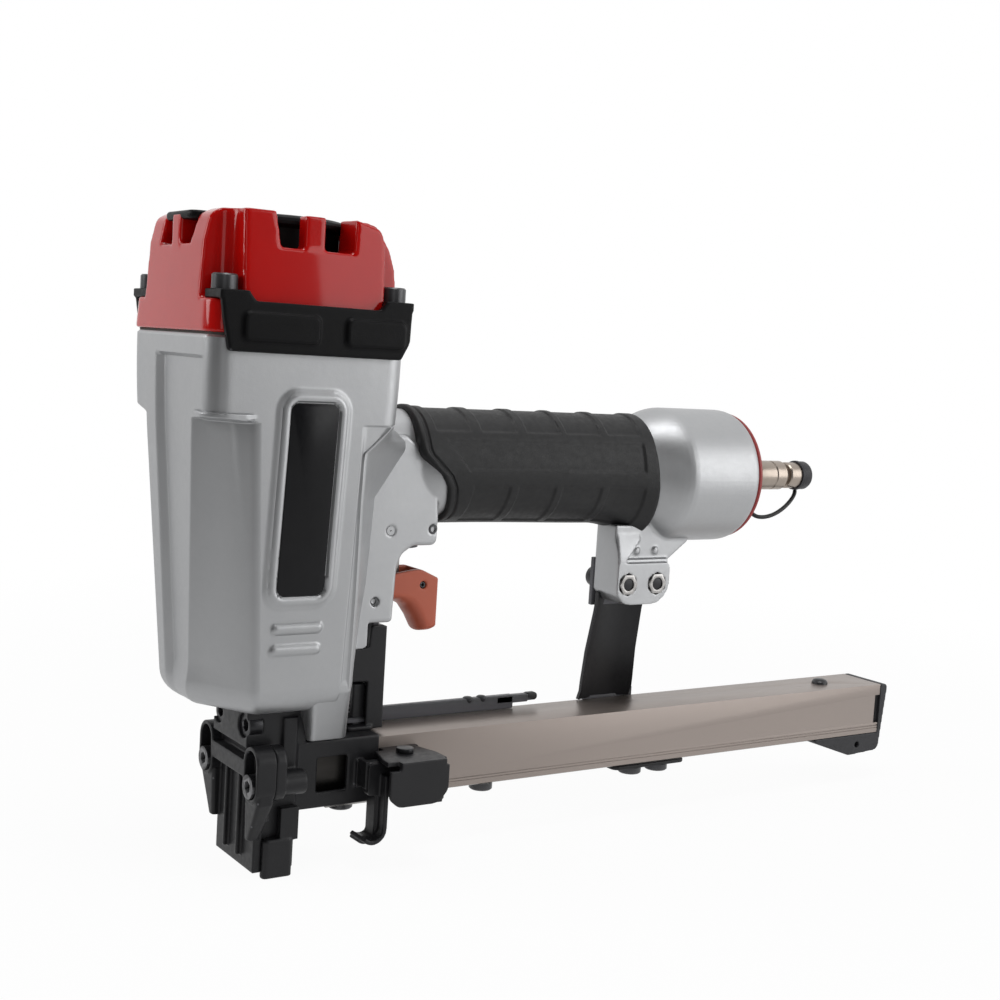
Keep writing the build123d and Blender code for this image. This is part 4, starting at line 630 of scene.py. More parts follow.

# Where a finish gives an edge colour, it is a painted highlight along outer edges.
SILVER_PAINT = Finish("silver_paint", srgb(176, 177, 178), srgb(169, 170, 172), (0.42, 0.48),
                      metallic=0.84, grains=SAND)
RED_PAINT = Finish("red_paint", srgb(178, 12, 8), srgb(166, 9, 6), (0.2, 0.26), specular=0.1, coat=0.55,
                   coat_roughness=0.04, grains=(Grain(Pattern.CLOUD, 0.5, 0.004),))
LABEL_BLACK = Finish("label_black", srgb(22, 22, 24), srgb(15, 15, 17), (0.14, 0.24), patches=0.15,
                     specular=0.2, grains=(Grain(Pattern.CLOUD, 0.6, 0.008),))
BLACK_PLASTIC = Finish("black_plastic", srgb(19, 19, 20), srgb(14, 14, 15), (0.34, 0.46), specular=0.1,
                       edge=srgb(70, 70, 73), grains=SPARK)
DARK_PLASTIC = Finish("dark_plastic", srgb(50, 50, 53), srgb(41, 41, 44), (0.42, 0.55), specular=0.3,
                      edge=srgb(80, 80, 84), grains=SPARK)
RED_PLASTIC = Finish("red_plastic", srgb(150, 42, 40), srgb(132, 32, 32), (0.4, 0.52), grains=SPARK)
BLACK_RUBBER = Finish("black_rubber", srgb(27, 27, 28), srgb(21, 21, 22), (0.46, 0.58), specular=0.35,
                      edge=srgb(60, 60, 63), grains=(Grain(Pattern.PEBBLE, 3.0, 0.05),))
BLACK_STEEL = Finish("black_steel", srgb(34, 34, 36), srgb(26, 26, 28), (0.34, 0.46), specular=0.28,
                     edge=srgb(92, 92, 96), grains=SAND)
BLACK_OXIDE = Finish("black_oxide", srgb(46, 46, 48), srgb(32, 32, 35), (0.28, 0.4), patches=0.3,
                     metallic=0.5, edge=srgb(110, 110, 112), grains=(Grain(Pattern.CLOUD, 2.0, 0.01),))
ORANGE_PAINT = Finish("orange_paint", srgb(182, 92, 66), srgb(170, 80, 56), (0.38, 0.5),
                      grains=(Grain(Pattern.CLOUD, 1.2, 0.02),))
ANODISED = Finish("anodised", srgb(152, 142, 136), srgb(148, 138, 132), (0.36, 0.4), patches=0.05,
                  streak=(0.2, 1.0, 1.0), metallic=0.7, grains=BRUSH)
NICKEL = Finish("nickel", srgb(168, 157, 147), srgb(152, 142, 132), (0.3, 0.38), patches=0.3,
                metallic=1.0, grains=TURNED)
# Bright steel with a rougher gloss, its colour darkened as painted shade for the pieces inside the cover.
DULL_SHADED_STEEL = Finish("bright_steel", srgb(64, 62, 60), srgb(54, 52, 50), (0.36, 0.46), patches=0.3,
                    streak=(0.05, 1.0, 1.0), metallic=0.9, grains=BRUSH, variant="_dull_shaded")
BRIGHT_STEEL = Finish("bright_steel", srgb(172, 170, 168), srgb(158, 156, 154), (0.26, 0.36), patches=0.3,
                      streak=(0.05, 1.0, 1.0), metallic=1.0, grains=BRUSH)
BARE_ALUMINIUM = Finish("bare_aluminium", srgb(205, 206, 208), srgb(186, 187, 190), (0.28, 0.4),
                        patches=0.3, metallic=1.0, grains=TURNED)
SPRING_STEEL = Finish("spring_steel", srgb(150, 150, 152), srgb(120, 120, 124), (0.26, 0.38), patches=0.4,
                      metallic=1.0, grains=(Grain(Pattern.CLOUD, 3.0, 0.004),))
SEAL_RUBBER = Finish("seal_rubber", srgb(34, 34, 35), srgb(26, 26, 27), (0.5, 0.65),
                     grains=(Grain(Pattern.CLOUD, 2.0, 0.02),))
GASKET_FIBRE = Finish("gasket_fibre", srgb(70, 66, 60), srgb(52, 49, 45), (0.7, 0.85), patches=0.8,
                      grains=(Grain(Pattern.CLOUD, 3.0, 0.03),))


def dress(piece: Piece, finish: Finish) -> Piece:
    """Give a piece its finish and the slot that it belongs to."""
    piece.data.materials.clear()
    piece.data.materials.append(finish.material())
    return piece


def publish(piece: Piece, body: str, finish: Finish, *nodes: str) -> Piece:
    """Dress a finished piece, hang it on its body and hide the solids that it stands for.

    Args:
        piece: Finished piece.
        body: Body that it moves with.
        finish: Its finish.
        nodes: Solids that it replaces.

    Returns:
        The same piece.
    """
    dress(piece, finish)
    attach(piece, body)
    if nodes:
        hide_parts(*nodes)
    LOG.info("%s rides on %s: %d faces", piece.name, body, len(piece.data.polygons))
    return piece


@dataclass(frozen=True)
class Screw:
    """Socket head screw, modelled once at its size and copied to each place."""

    d: float = 5.0
    head_d: float = 8.5
    head_h: float = 5.0
    socket: float = 4.0
    socket_depth: float = 2.5
    tip: float = 0.6
    edge: float = 0.5

    def build(self, length: float) -> Piece:
        """Screw along +Z with its head's seat at the origin."""
        r, top = self.head_d / 2, self.head_h
        profile = [(-length, 0), (-length, self.d / 2 - self.tip), (-length + self.tip, self.d / 2),
                   (0, self.d / 2), (0, r), (top - self.edge, r), (top, r - self.edge), (top, 0)]
        screw = lathe("screw", profile, Axis.Z, (0, 0), 40)
        outline = hexagon((0, 0), self.socket / math.sqrt(3))
        return smooth(cut(screw, plate("socket", outline, Axis.Z, (top - self.socket_depth, top + 1))), 30)

    def place(self, name: str, length: float, seats: Sequence[Point3], axis: Axis,
              flip: bool = False) -> Piece:
        """Set of screws with their heads along one direction.

        Args:
            name: Name of the set.
            length: Length under the head.
            seats: Where each head's underside sits.
            axis: Direction that the heads point in.
            flip: True where they point against the axis.

        Returns:
            The set as one piece.
        """
        master = self.build(length)
        turn = axis.turn(flip)
        copies = [twin(master, name, shift(seat) @ turn) for seat in seats]
        bpy.data.objects.remove(master)
        return smooth(join(name, *copies), 30)


# Sub-assemblies

@dataclass
class Housing:
    """Die-cast body with its neck, tail, rear funnel and strut lug, and the bare label plate."""

    bottom: float = 58.0
    foot_steps: int = 9
    top: float = 188.0
    top_edge: Point2 = (0.8, 0.6)
    low_z: float = 66.0
    lean_z: float = 170.0
    upright_z: Span = (150.0, 188.0)
    front: Span = (28.0, 36.5)
    rear: Span = (30.0, 36.0)
    half: Span = (27.6, 36.3)
    foot_r: float = 10.0
    facet_x: float = 16.4
    facet_draw: float = 0.55
    facet_near: Span = (25.0, 20.5)
    facet_far: Span = (9.0, 14.6)
    close_near: Span = (160.1, 161.5)
    close_far: Span = (159.4, 162.4)
    facet_r: tuple[float, float, float, float] = (1.6, 3.6, 3.6, 3.0)
    ledge_z: float = 160.0
    pinch: float = 1.6
    pinch_z: float = 152.0
    block_cut: float = 4.2
    block_r: float = 6.0
    lip: float = 1.4
    lip_z: Span = (160.2, 162.7)
    lip_at: Point2 = (-21.4, -19.2)
    lip_soft: Point2 = (0.5, 1.0)
    outside: float = -60.0
    fine_z: Span = (159.4, 163.4)
    fine_steps: int = 20
    shoulder: Curve = ((58, 25.6), (100, 24.4), (129, 23.2), (148, 22.4), (150.6, 22.6), (159.3, 32.3),
                       (160, 32.6))
    crease: Curve = ((58, 31.6), (66, 32), (89.6, 34.1), (104.5, 36), (133.3, 37.6), (150.4, 49.4),
                     (154, 49.8), (160, 43))
    corner_panel: tuple[float, float, float] = (21.0, 160.0, 0.6)
    panel_y: Span = (-28.0, 9.0)
    panel_wall: float = 3.4
    panel_z: tuple[float, float, float] = (54.0, 76.0, 180.0)
    panel_depth: float = 2.4
    panel_reach: Span = (0.4, 15.0)
    label_x: Span = (-7.2, 10.3)
    label_z: Span = (101.5, 167.2)
    label_r: float = 3.0
    seat: Point2 = (0.55, 0.35)
    rim_h: float = 0.7
    rim_fade: Span = (3.7, 5.3)
    bead_at: float = 1.8
    bead: Point2 = (0.9, 1.5)
    rib_x: Span = (-6.0, 9.5)
    rib_z: tuple[float, float] = (90.0, 82.4)
    rib: Point2 = (1.3, 1.9)
    neck_y: float = 15.0
    tail_rings: tuple[tuple[float, float, float, float, float], ...] = (
        (45.6, 15.3, 29.4, 31.0, 16.4), (47.6, 14.8, 29.0, 31.0, 17.5), (66.0, 10.0, 25.2, 31.8, 27.4),
        (68.0, 9.8, 25.0, 31.9, 27.5), (74.0, 10.0, 24.6, 32.3, 27.0), (82.0, 11.0, 24.0, 32.8, 25.5))
    handle_z: float = 144.0
    collar: Point2 = (17.8, 20.8)
    bulge_z: float = 141.0
    bulge_r: float = 28.0
    core: Point2 = (17.4, 20.4)
    funnel_x: Span = (160.0, 180.0)
    nut_x: tuple[float, float] = (157.9, 173.0)
    nut_z: float = 97.0
    nut_reach: float = 4.7
    lug: tuple[Point2, ...] = ((152.3, 93), (156.5, 88.5), (174, 88.5), (179.5, 94))
    lug_near: float = -14.0
    arc: int = 4
    runs: tuple[int, ...] = (20, 8, 16, 18, 16, 30, 20, 10)
    side_run: int = 1
    front_run: int = 7
    side_grid: tuple[float, float, int] = (-13.6, 20.4, 66)
    front_grid: tuple[float, float, int] = (13.2, -3.0, 34)
    pitch: float = 0.6
    voxel: float = 0.5
    rounds: int = 3

    def grow(self, span: Span, z: float) -> float:
        """Size at a height: it leans outwards from the foot and turns upright towards the top."""
        low, high = self.upright_z
        over = min(max(z - low, 0.0), high - low)
        run = min(z, low) - self.low_z + over - over ** 2 / (2 * (high - low))
        return span[0] + (span[1] - span[0]) * run / (self.lean_z - self.low_z)

    def corners(self, z: float, inset: float) -> tuple[list[Point2], list[float]]:
        """Corners of the body's section with their radii, from the front left corner round.

        Args:
            z: Height of the section.
            inset: How far the section is drawn in, at the rounded foot.

        Returns:
            The eight corners and a radius for each.
        """
        front, rear, half = (self.grow(span, z) - inset for span in (self.front, self.rear, self.half))
        shut = ease(z, self.ledge_z - 0.1, self.ledge_z + 0.5)
        inner = self.neck_y
        if z > self.handle_z:
            arch = mound(min(z, self.ledge_z) - self.handle_z, *self.collar)
            inner = min(inner, arch - self.pinch * ease(z, self.handle_z, self.pinch_z))
        side = height_on(self.shoulder, z) - inset
        back = height_on(self.crease, z) - inset
        side += (rear - self.block_cut - side) * shut
        back += (rear - back) * shut
        inner += (half - self.block_cut - inner) * shut
        ring: list[list[Point2]] = []
        radii: list[list[float]] = []
        for facet, span in ((self.facet_near, self.close_near), (self.facet_far, self.close_far)):
            close = ease(z, *span)
            sizes = [size - self.facet_draw * inset for size in (self.facet_x, self.grow(facet, z))]
            cut_x, cut_y = (size + (self.block_cut - size) * close for size in sizes)
            ring.append([(-front, half - cut_y), (cut_x - front, half), (side, half), (back, inner)])
            shares = (close, close, shut, shut)
            radii.append([r + (self.block_r - r) * t for r, t in zip(self.facet_r, shares)])
        return [(x, -y) for x, y in ring[0]] + ring[1][::-1], radii[0] + radii[1][::-1]

    def section(self, z: float, inset: float) -> list[Vector]:
        """Evenly paced section of the body at a height, with the relief on its faces."""
        points, radii = self.corners(z, inset)
        arcs = rounded(points, radii, self.arc)
        each = self.arc + 1
        paced: list[Point2] = []
        for i, count in enumerate(self.runs):
            paced += arcs[each * i:each * (i + 1)]
            start, end = Vector(paced[-1]), Vector(arcs[each * (i + 1) % len(arcs)])
            shares = [k / (count + 1) for k in range(1, count + 1)]
            if i == self.side_run:
                shares = paces(start.x, end.x, count, self.side_grid)
            elif i == self.front_run:
                shares = paces(start.y, end.y, count, self.front_grid)
            paced += [tuple(start.lerp(end, share)) for share in shares]
        paced = self.lipped(paced, z)
        front, side = points[0][0], points[1][1]
        start, end = self.panel_reach
        touch = 0.01
        ring = []
        for x, y in paced:
            inward = self.panel(y, z) * (1 - ease(x, front + start, front + end))
            if y < side + touch:
                y -= self.proud(x, z)
            ring.append(Axis.Z.point(x + inward, y, z))
        return ring

    def lipped(self, ring: list[Point2], z: float) -> list[Point2]:
        """Section with the lip under the block's near corner pushed outwards."""
        rise, fade = self.lip_soft
        ridge = self.lip * window(z, *self.lip_z, rise)
        if not ridge:
            return ring
        lifted = []
        for i, (x, y) in enumerate(ring):
            before, after = Vector(ring[i - 1]), Vector(ring[(i + 1) % len(ring)])
            way = Vector((after.y - before.y, before.x - after.x)).normalized()
            share = ridge
            for value, limit in zip((x, y), self.lip_at):
                share *= window(value, self.outside, limit, fade)
            lifted.append((x + way.x * share, y + way.y * share))
        return lifted

    def panel(self, y: float, z: float) -> float:
        """Depth of the sunken panel in the front face, with its sloping far wall."""
        low, high = self.panel_y
        wall = min(max((high + self.panel_wall - y) / self.panel_wall, 0.0), 1.0)
        start, full, top = self.panel_z
        deep = self.panel_depth * ease(z, start, full) * (1 - ease(z, top, top + 1.2))
        return deep * ease(y, low - 1.0, low + 0.2) * wall

    def proud(self, x: float, z: float) -> float:
        """Height of the label's seat and rim, the ribs and the corner panel over the left side."""
        start, top, depth = self.corner_panel
        height = -depth * ease(x, start - 0.5, start + 0.5) * (1 - ease(z, top - 0.3, top + 0.5))
        spread = [abs(v - sum(span) / 2) - (span[1] - span[0]) / 2 + self.label_r
                  for v, span in ((x, self.label_x), (z, self.label_z))]
        gap = math.hypot(*(max(v, 0.0) for v in spread)) + min(max(spread), 0.0) - self.label_r
        seat_gap, seat_h = self.seat
        if gap < seat_gap:
            return seat_h
        height += self.rim_h * (1 - ease(gap, *self.rim_fade)) + mound(gap - self.bead_at, *self.bead)
        for rib in self.rib_z:
            off = math.hypot(max(self.rib_x[0] - x, x - self.rib_x[1], 0.0), z - rib)
            height += mound(off, *self.rib)
        return height

    def build_body(self) -> Piece:
        """Leaning body with its rounded foot, its facets and the square block at its top."""
        rings = []
        for k in range(self.foot_steps + 1):
            turn = math.radians(90 * k / self.foot_steps)
            z = self.bottom + self.foot_r * (1 - math.cos(turn))
            rings.append(self.section(z, self.foot_r * (1 - math.sin(turn))))
        start = self.bottom + self.foot_r
        edge_h, edge_in = self.top_edge
        rise = self.top - edge_h - start
        steps = round(rise / self.pitch)
        levels = [start + rise * k / steps for k in range(1, steps + 1)]
        low, high = self.fine_z
        fine = [low + (high - low) * k / self.fine_steps for k in range(self.fine_steps + 1)]
        levels = [z for z in levels if not low <= z <= high] + fine
        rings += [self.section(z, 0.0) for z in sorted(levels)]
        rings.append(self.section(self.top, edge_in))
        return smooth(skin("housing_body", rings), 50)

    def build_neck(self) -> Piece:
        """Neck over the trigger, its chin, the collar at the grip, and the tail above the nose."""
        y = (-self.neck_y, self.neck_y)
        outline = [(20, 156), (20, 87), (47.7, 87), (48.6, 107.5), (50.4, 112.2), (55, 115.2), (65, 115.2),
                   (65.2, 126), (64.4, 136.3), (60.6, 144.3), (57.2, 150.8), (50, 156)]
        neck = plate("neck", rounded(outline, [0, 0, 1.5, 4, 4, 4, 2.5, 3, 4, 4, 4, 3]), Axis.Y, y)
        narrow = self.neck_y - 0.3
        wide, high = self.collar
        rings = []
        for x in (30, *range(54, 73)):
            half = narrow + (wide - narrow) * ease(x, 54, 67)
            rings.append(Axis.X.ring(oval((0, self.handle_z), (half, high), 64), x))
        collar = skin("collar", rings)
        step = plate("step", rounded([(20, 92), (20, 78), (37.6, 78), (37.6, 92)], [0, 0, 1.5, 0]), Axis.Y, y)
        rings = []
        for z, first, side, last, half in self.tail_rings:
            inner = min(self.neck_y, half - 2.0)
            outline = [(first, -half), (side, -half), (last, -inner), (last, inner), (side, half),
                       (first, half)]
            rings.append(Axis.Z.ring(rounded(outline, 2.4), z))
        tail = skin("tail", rings)
        body = join("housing_neck", soften(neck, 1.2), collar, step, tail)
        tools = [block("slot", (30, 60), (-10.5, 10.5), (80, 112.5)),
                 rod("valve_bore", Axis.Z, (55, 0), (105, 120), 18.0)]
        for at, d, floor in (((40, 95), 3.6, 13.2), ((45, 121), 4.3, 14.3), ((63.0, 121.3), 4.4, 14.3)):
            tools += [rod("seat", Axis.Y, at, span, d) for span in ((-18, -floor), (floor, 18))]
        return cast(cut(body, *tools), self.voxel, self.rounds)

    def build_rear(self) -> Piece:
        """Rear funnel, the handle's core and the lug for the strut."""
        rings = []
        for x, round_off in [(x, 0.0) for x in range(158, 212, 2)] + [(212, 0.2), (213.2, 0.8), (214, 2.0)]:
            share = ease(x, *self.funnel_x)
            half = tuple(a + (self.bulge_r - a) * share - round_off for a in self.core)
            middle = self.handle_z + (self.bulge_z - self.handle_z) * share
            rings.append(Axis.X.ring(oval((0, middle), half, 96), x))
        funnel = skin("funnel", rings)
        core = plate("core", oval((0, self.handle_z), (15.8, 18.8), 48), Axis.X, (140, 165))
        left, right = self.lug[0][0], self.lug[-1][0]
        outline = [(left, 121), *self.lug, (right, 105.5), (191, 114), (191, 121)]
        web = plate("web", rounded(outline, [0, 3, 4, 4, 4, 3, 2, 0]), Axis.Y, (-10.8, 2.0))
        outline = [(left, 105.6), *self.lug, (right, 105.6)]
        face = plate("face", rounded(outline, [1, 5, 6, 7, 6, 2]), Axis.Y, (self.lug_near, -9.0))
        rings = []
        for z in range(95, 121, 2):
            lift = ease(z, 106, 121)
            near = self.lug_near + 3.6 * lift
            edge = 156.8 + 8.0 * min(max((z - 107) / 8.0, 0.0), 1.0)
            outline = [(left, 2.0), (left, near), (edge, near), (edge, 2.0)]
            rings.append(Axis.Z.ring(rounded(outline, [0, 0.8 + lift, 0.6, 0]), z))
        wall = skin("wall", rings)
        shelf = block("shelf", (157.0, 179.4), (-12.6, -10.0), (104.0, 107.0))
        studs = [rod("stud", Axis.Y, (x, 110.4), (-11.7, -9), 2.6) for x in (163.6, 173.2)]
        rear = join("housing_rear", funnel, core, web, face, wall, shelf, *studs)
        outlines = [hexagon((x, self.nut_z), self.nut_reach, math.pi / 6) for x in self.nut_x]
        seats = [plate("nut_seat", outline, Axis.Y, (-16, -10)) for outline in outlines]
        return cast(cut(rear, *seats), self.voxel, self.rounds)

    def build(self) -> None:
        """Model and dress the castings and the label plate."""
        publish(self.build_body(), "housing", SILVER_PAINT, "main_housing")
        publish(self.build_neck(), "housing", SILVER_PAINT, "main_housing")
        publish(self.build_rear(), "housing", SILVER_PAINT, "main_housing")
        label = plate("label_face", rectangle(self.label_x, self.label_z, self.label_r), Axis.Y, (-0.8, 0.0))
        for vertex in label.data.vertices:
            vertex.co.y -= self.grow(self.half, vertex.co.z / MM) * MM
        publish(soften(label, 0.15), "housing", LABEL_BLACK, "label_plate")


@dataclass
class Cap:
    """Cylinder cap with its exhaust windows, the deflector inside, the guards, the gasket and the screws."""

    foot_z: float = 188.8
    shoulder_z: float = 199.6
    top_z: float = 229.0
    low: Point2 = (37.0, 36.5)
    high: Point2 = (34.8, 33.8)
    corner_r: float = 7.0
    well_d: float = 52.0
    well_z: float = 212.1
    bore_d: float = 50.0
    ceiling: float = 206.1
    screw_at: Point2 = (31.0, 32.0)
    screw_l: float = 32.0
    reach: Point2 = (5.2, 7.6)
    beyond: float = 12.0
    channel_r: float = 5.0
    across: Span = (-45.0, 45.0)
    notch: float = 14.0
    notch_z: float = 217.5
    pillar: float = 7.5
    pillar_y: Span = (28.5, 34.2)
    guard_y: Span = (36.9, 39.4)
    ear_z: float = 202.6
    ear_r: float = 6.2
    ear_end: float = 35.2
    pads: tuple[Span, Span] = ((-27.0, 0.0), (9.75, 32.25))
    pad_z: Span = (186.6, 195.8)

    def build_cap(self) -> Piece:
        """Red casting in one skin."""
        rings = []
        for z, t in ((self.foot_z, 0.0), (self.shoulder_z, 0.25), (self.top_z, 1.0)):
            x, y = (a + (b - a) * t for a, b in zip(self.low, self.high))
            rings.append(Axis.Z.ring(rectangle((-x, x), (-y, y), self.corner_r, 8), z))
        cap = skin("cap", rings)
        over = self.top_z + 3
        tools = []
        for sx, sy in ((-1, -1), (-1, 1), (1, -1), (1, 1)):
            x, y = sx * self.screw_at[0], sy * self.screw_at[1]
            near = (x - sx * self.reach[0], y - sy * self.reach[1])
            far = (x + sx * self.beyond, y + sy * self.beyond)
            corner = [(near[0], far[1]), near, (far[0], near[1]), far]
            outline = rounded(corner, [0, self.channel_r, 0, 0])
            tools.append(plate("channel", outline, Axis.Z, (self.shoulder_z, over)))
        tools.append(rod("well", Axis.Z, (0, 0), (self.well_z, over), self.well_d))
        tools.append(rod("bore", Axis.Z, (0, 0), (self.foot_z - 1, self.ceiling), self.bore_d))
        left, right = self.across
        w = self.notch
        side = [(-w + 1.2, self.notch_z), (w, self.notch_z), (w + 1, over), (-w - 1, over)]
        tools.append(plate("window", side, Axis.Y, self.across))
        tools.append(plate("window", side, Axis.X, (left, 0)))
        rear = [(21, self.top_z + 0.5), (26.5, 228.0), (30, 225), (33, 220.5), (35.3, 214), (36.6, 204),
                (50, 203), (50, over), (21, over)]
        tools.append(plate("slope", rear, Axis.Y, self.across))
        shoulder = [(13.4, 230.6), (14.4, 229.0), (24.4, 226.4), (26.4, 218.0), (50, 218.0), (50, over),
                    (13.4, over)]
        shoulder = rounded(shoulder, [0, 1.5, 3.0, 0, 0, 0, 0])
        tools += [plate("slope", shoulder, Axis.Y, span) for span in ((left, -26.4), (26.4, right))]
        front = [(-28, self.top_z + 0.6), (-33.4, 227.0), (-36.4, 214), (-50, 214), (-50, over), (-28, over)]
        tools.append(plate("slope", rounded(front, [0, 4.5, 0, 0, 0, 0]), Axis.Y, self.across))
        cut(cap, *tools)
        half, foot = self.pillar / 2, self.notch_z - 2
        inner, outer = self.pillar_y
        pillars = [block("pillar", (-half - 0.5, half - 0.5), y, (foot, self.top_z - 0.5))
                   for y in ((-outer, -inner), (inner, outer))]
        pillars.append(block("pillar", (-35.6, -inner), (-half, half), (foot, self.top_z - 1.5)))
        return cast(join("cap_casting", cap, *pillars), 0.55, 8)

    def build_deflector(self) -> Piece:
        """Black drum in the well with a rounded, overhanging lid."""
        r = self.well_d / 2 - 0.4
        profile = [(self.well_z, 0), (self.well_z, r - 3), (224.8, r - 3), (225.4, r - 1.2), (226.0, r - 0.3),
                   (227.0, r), (228.0, r - 0.3), (228.7, r - 1.2), (229.1, r - 3), (229.4, r - 8),
                   (229.4, 14), (229.0, 13.4), (229.0, 12.4), (229.5, 11.8), (229.5, 0)]
        drum = lathe("deflector_drum", profile, Axis.Z, (0, 0), 120)
        tongue = plate("tongue", rectangle((-35.4, 0), (-12.6, 12.6), 4.0), Axis.Z, (225.4, 228.4))
        return smooth(join("deflector_drum", drum, soften(tongue, 1.2, 4)), 40)

    def build_guard(self) -> Piece:
        """Guard over the left side of the joint, with its two pads and its ears."""
        inner, outer = self.guard_y
        sx, sy = self.screw_at
        outline = [(-31.4, 183), (31.4, 183), (34.6, 189), (35.0, self.ear_z), (25.2, self.ear_z),
                   (22.6, 199.4), (-22.6, 199.4), (-25.4, self.ear_z), (-35.0, self.ear_z), (-33.6, 193)]
        outline = rounded(outline, [1.2, 1.2, 6, 1.5, 2, 2, 2, 2, 1.5, 20])
        parts = [soften(plate("panel", outline, Axis.Y, (-outer, -inner)), 0.5)]
        for x in (-sx, sx):
            left, right, back = x - self.ear_r, x + self.ear_r, self.ear_r - sy
            ear = [(left, -outer), (right, -outer), (right, -sy), (right, back), (left, back), (left, -sy)]
            ear = rounded(ear, [1, 1, 0, 6, 6, 0])
            ear = [(min(max(a, -self.ear_end), self.ear_end), b) for a, b in ear]
            parts.append(soften(plate("ear", ear, Axis.Z, (self.shoulder_z, self.ear_z)), 0.5))
        for x in self.pads:
            pad = plate("pad", rectangle(x, self.pad_z, 2.2), Axis.Y, (-outer - 1.4, -outer + 0.4))
            parts.append(soften(pad, 0.7))
        return cast(join("guard_left", *parts), 0.4, 2)

    def build(self) -> None:
        """Model and dress the cap's pieces."""
        publish(self.build_cap(), "housing", RED_PAINT, "cylinder_cap")
        publish(self.build_deflector(), "housing", BLACK_PLASTIC, "exhaust_deflector")
        left = self.build_guard()
        right = twin(left, "guard_right", Matrix.Scale(-1, 4, (0, 1, 0)))
        smooth(right, CAST_ANGLE)
        publish(left, "housing", BLACK_PLASTIC, "left_guard")
        publish(right, "housing", BLACK_PLASTIC, "right_guard")
        x, y = self.screw_at
        seats = [(a, b, self.ear_z) for a in (-x, x) for b in (-y, y)]
        screws = Screw().place("cap_screw_set", self.screw_l, seats, Axis.Z)
        publish(screws, "housing", BLACK_OXIDE, "cap_screws")
        dress(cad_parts["cap_gasket"], GASKET_FIBRE)


@dataclass
class Handle:
    """Rubber grip, the end of the handle, the air plug with its dust cap and strap."""

    grip_z: float = 144.0
    grip_half: Point2 = (19.1, 22.1)
    rear_flare: float = 6.2
    flare_l: float = 24.0
    sag: float = 0.9
    sag_x: Span = (80.0, 150.0)
    under: Span = (60.0, 170.0)
    lip: float = 0.5
    lip_end: Span = (2.4, 3.0)
    groove: tuple[float, float, float] = (3.2, 4.0, 0.4)
    front_rim: Point2 = (0.9, 1.0)
    rear_rim: Point2 = (1.6, 2.2)
    tuck: float = 1.2
    tucks: int = 3
    around: int = 200
    steps: int = 230
    panel_depth: float = 0.6
    top_panels: tuple[Span, ...] = ((62.5, 77), (82.4, 98), (103, 118), (121.7, 138), (142, 158))
    low_panels: tuple[Span, ...] = ((78.4, 94), (98.7, 115), (119.2, 137.5), (142, 158.6))
    panel_soft: float = 0.8
    top_end: Span = (49.0, 52.0)
    low_arc: tuple[float, float, float] = (109.0, 158.0, 2.5)
    mid_arc: tuple[float, float, float] = (62.0, 90.0, 2.0)
    mid_start: Point2 = (66.6, 0.3)
    mid_end: Point2 = (158.0, 0.9)
    front_curve: Curve = ((0, 54.6), (60, 54.4), (70, 54.6), (76, 55.6), (85.5, 59.3), (95.6, 63.6),
                          (103, 65.4), (109, 66.7), (124, 68.1), (140, 69.2), (151, 69.0), (165, 66.5),
                          (180, 65.5))
    rear_curve: Curve = ((0, 165), (50, 165.8), (90, 166.4), (123, 166.8), (150, 167.2), (180, 167.4))
    plug_z: float = 141.0
    plug_flats: float = 15.0
    strap_d: float = 1.8
    strap_x: Span = (232.5, 260.0)

    def relief(self, x: float, angle: float) -> float:
        """Depth of the grip's recessed panels at a place."""
        rows = (self.top_panels, self.low_panels)
        top, low = (max(window(x, *panel, self.panel_soft) for panel in row) for row in rows)
        start, lean = self.mid_start
        mid = window(x, start + lean * (angle - self.mid_arc[0]), *self.mid_end)
        top *= 1 - ease(angle, *self.top_end)
        low *= window(angle, *self.low_arc)
        mid *= window(angle, *self.mid_arc)
        return self.panel_depth * max(top, low, mid)

    def swell(self, x: float, angle: float, front: float, rear: float) -> float:
        """Height of the grip over its plain oval.

        Args:
            x: Place along the grip.
            angle: Angle from the top, in degrees.
            front: Where the grip starts at this angle.
            rear: Where it ends.

        Returns:
            The height of the lip, the flare and the sag, less the panels, the groove and the rounded rims.
        """
        height = -self.relief(x, angle)
        height += self.lip * (1 - ease(x - front, *self.lip_end) - window(x - front, *self.groove))
        late = max(0.0, 1 - (rear - x) / self.flare_l)
        height += ease(angle, *self.under) * (self.rear_flare * late ** 1.6 + self.sag * ease(x, *self.sag_x))
        for run, (depth, length) in ((x - front, self.front_rim), (rear - x, self.rear_rim)):
            height -= depth * (1 - ease(run, 0.0, length)) ** 2
        return height

    def build_grip(self) -> Piece:
        """Moulded sleeve with a lip in front, recessed panels and a flared rear."""
        rings = []
        for j in range(-self.tucks, self.steps + self.tucks + 1):
            ring = []
            t = min(max(j / self.steps, 0.0), 1.0)
            sunk = self.tuck * max(-j, j - self.steps, 0)
            for k in range(self.around):
                turn = math.tau * k / self.around
                angle = abs(math.degrees(turn) - 360 * (turn > math.pi))
                front, rear = height_on(self.front_curve, angle), height_on(self.rear_curve, angle)
                x = front + (rear - front) * t
                proud = self.swell(x, angle, front, rear) - sunk
                wide, high = (half + proud for half in self.grip_half)
                ring.append(Axis.X.point(-wide * math.sin(turn), self.grip_z + high * math.cos(turn), x))
            rings.append(ring)
        return smooth(skin("grip", rings), 60)

    def build_end(self) -> None:
        """Red ring and the dark cap that closes the handle."""
        z = self.plug_z
        profile = [(214, 22), (214, 26.3), (214.5, 26.8), (215.5, 26.8), (216, 26.3), (216, 22)]
        publish(lathe("end_band", profile, Axis.X, (0, z), 96), "housing", RED_PLASTIC, "end_ring")
        profile = [(200, 5.6), (200, 21.9), (215.6, 21.9), (215.6, 25.4), (216.2, 25.2), (217.4, 21.0),
                   (219.2, 17.0), (220, 15.4), (220, 13), (219.4, 12.4), (219.4, 9.4), (220, 8.9), (220, 5.6)]
        publish(lathe("end_closure", profile, Axis.X, (0, z), 96), "housing", DARK_PLASTIC, "handle_end_cap")

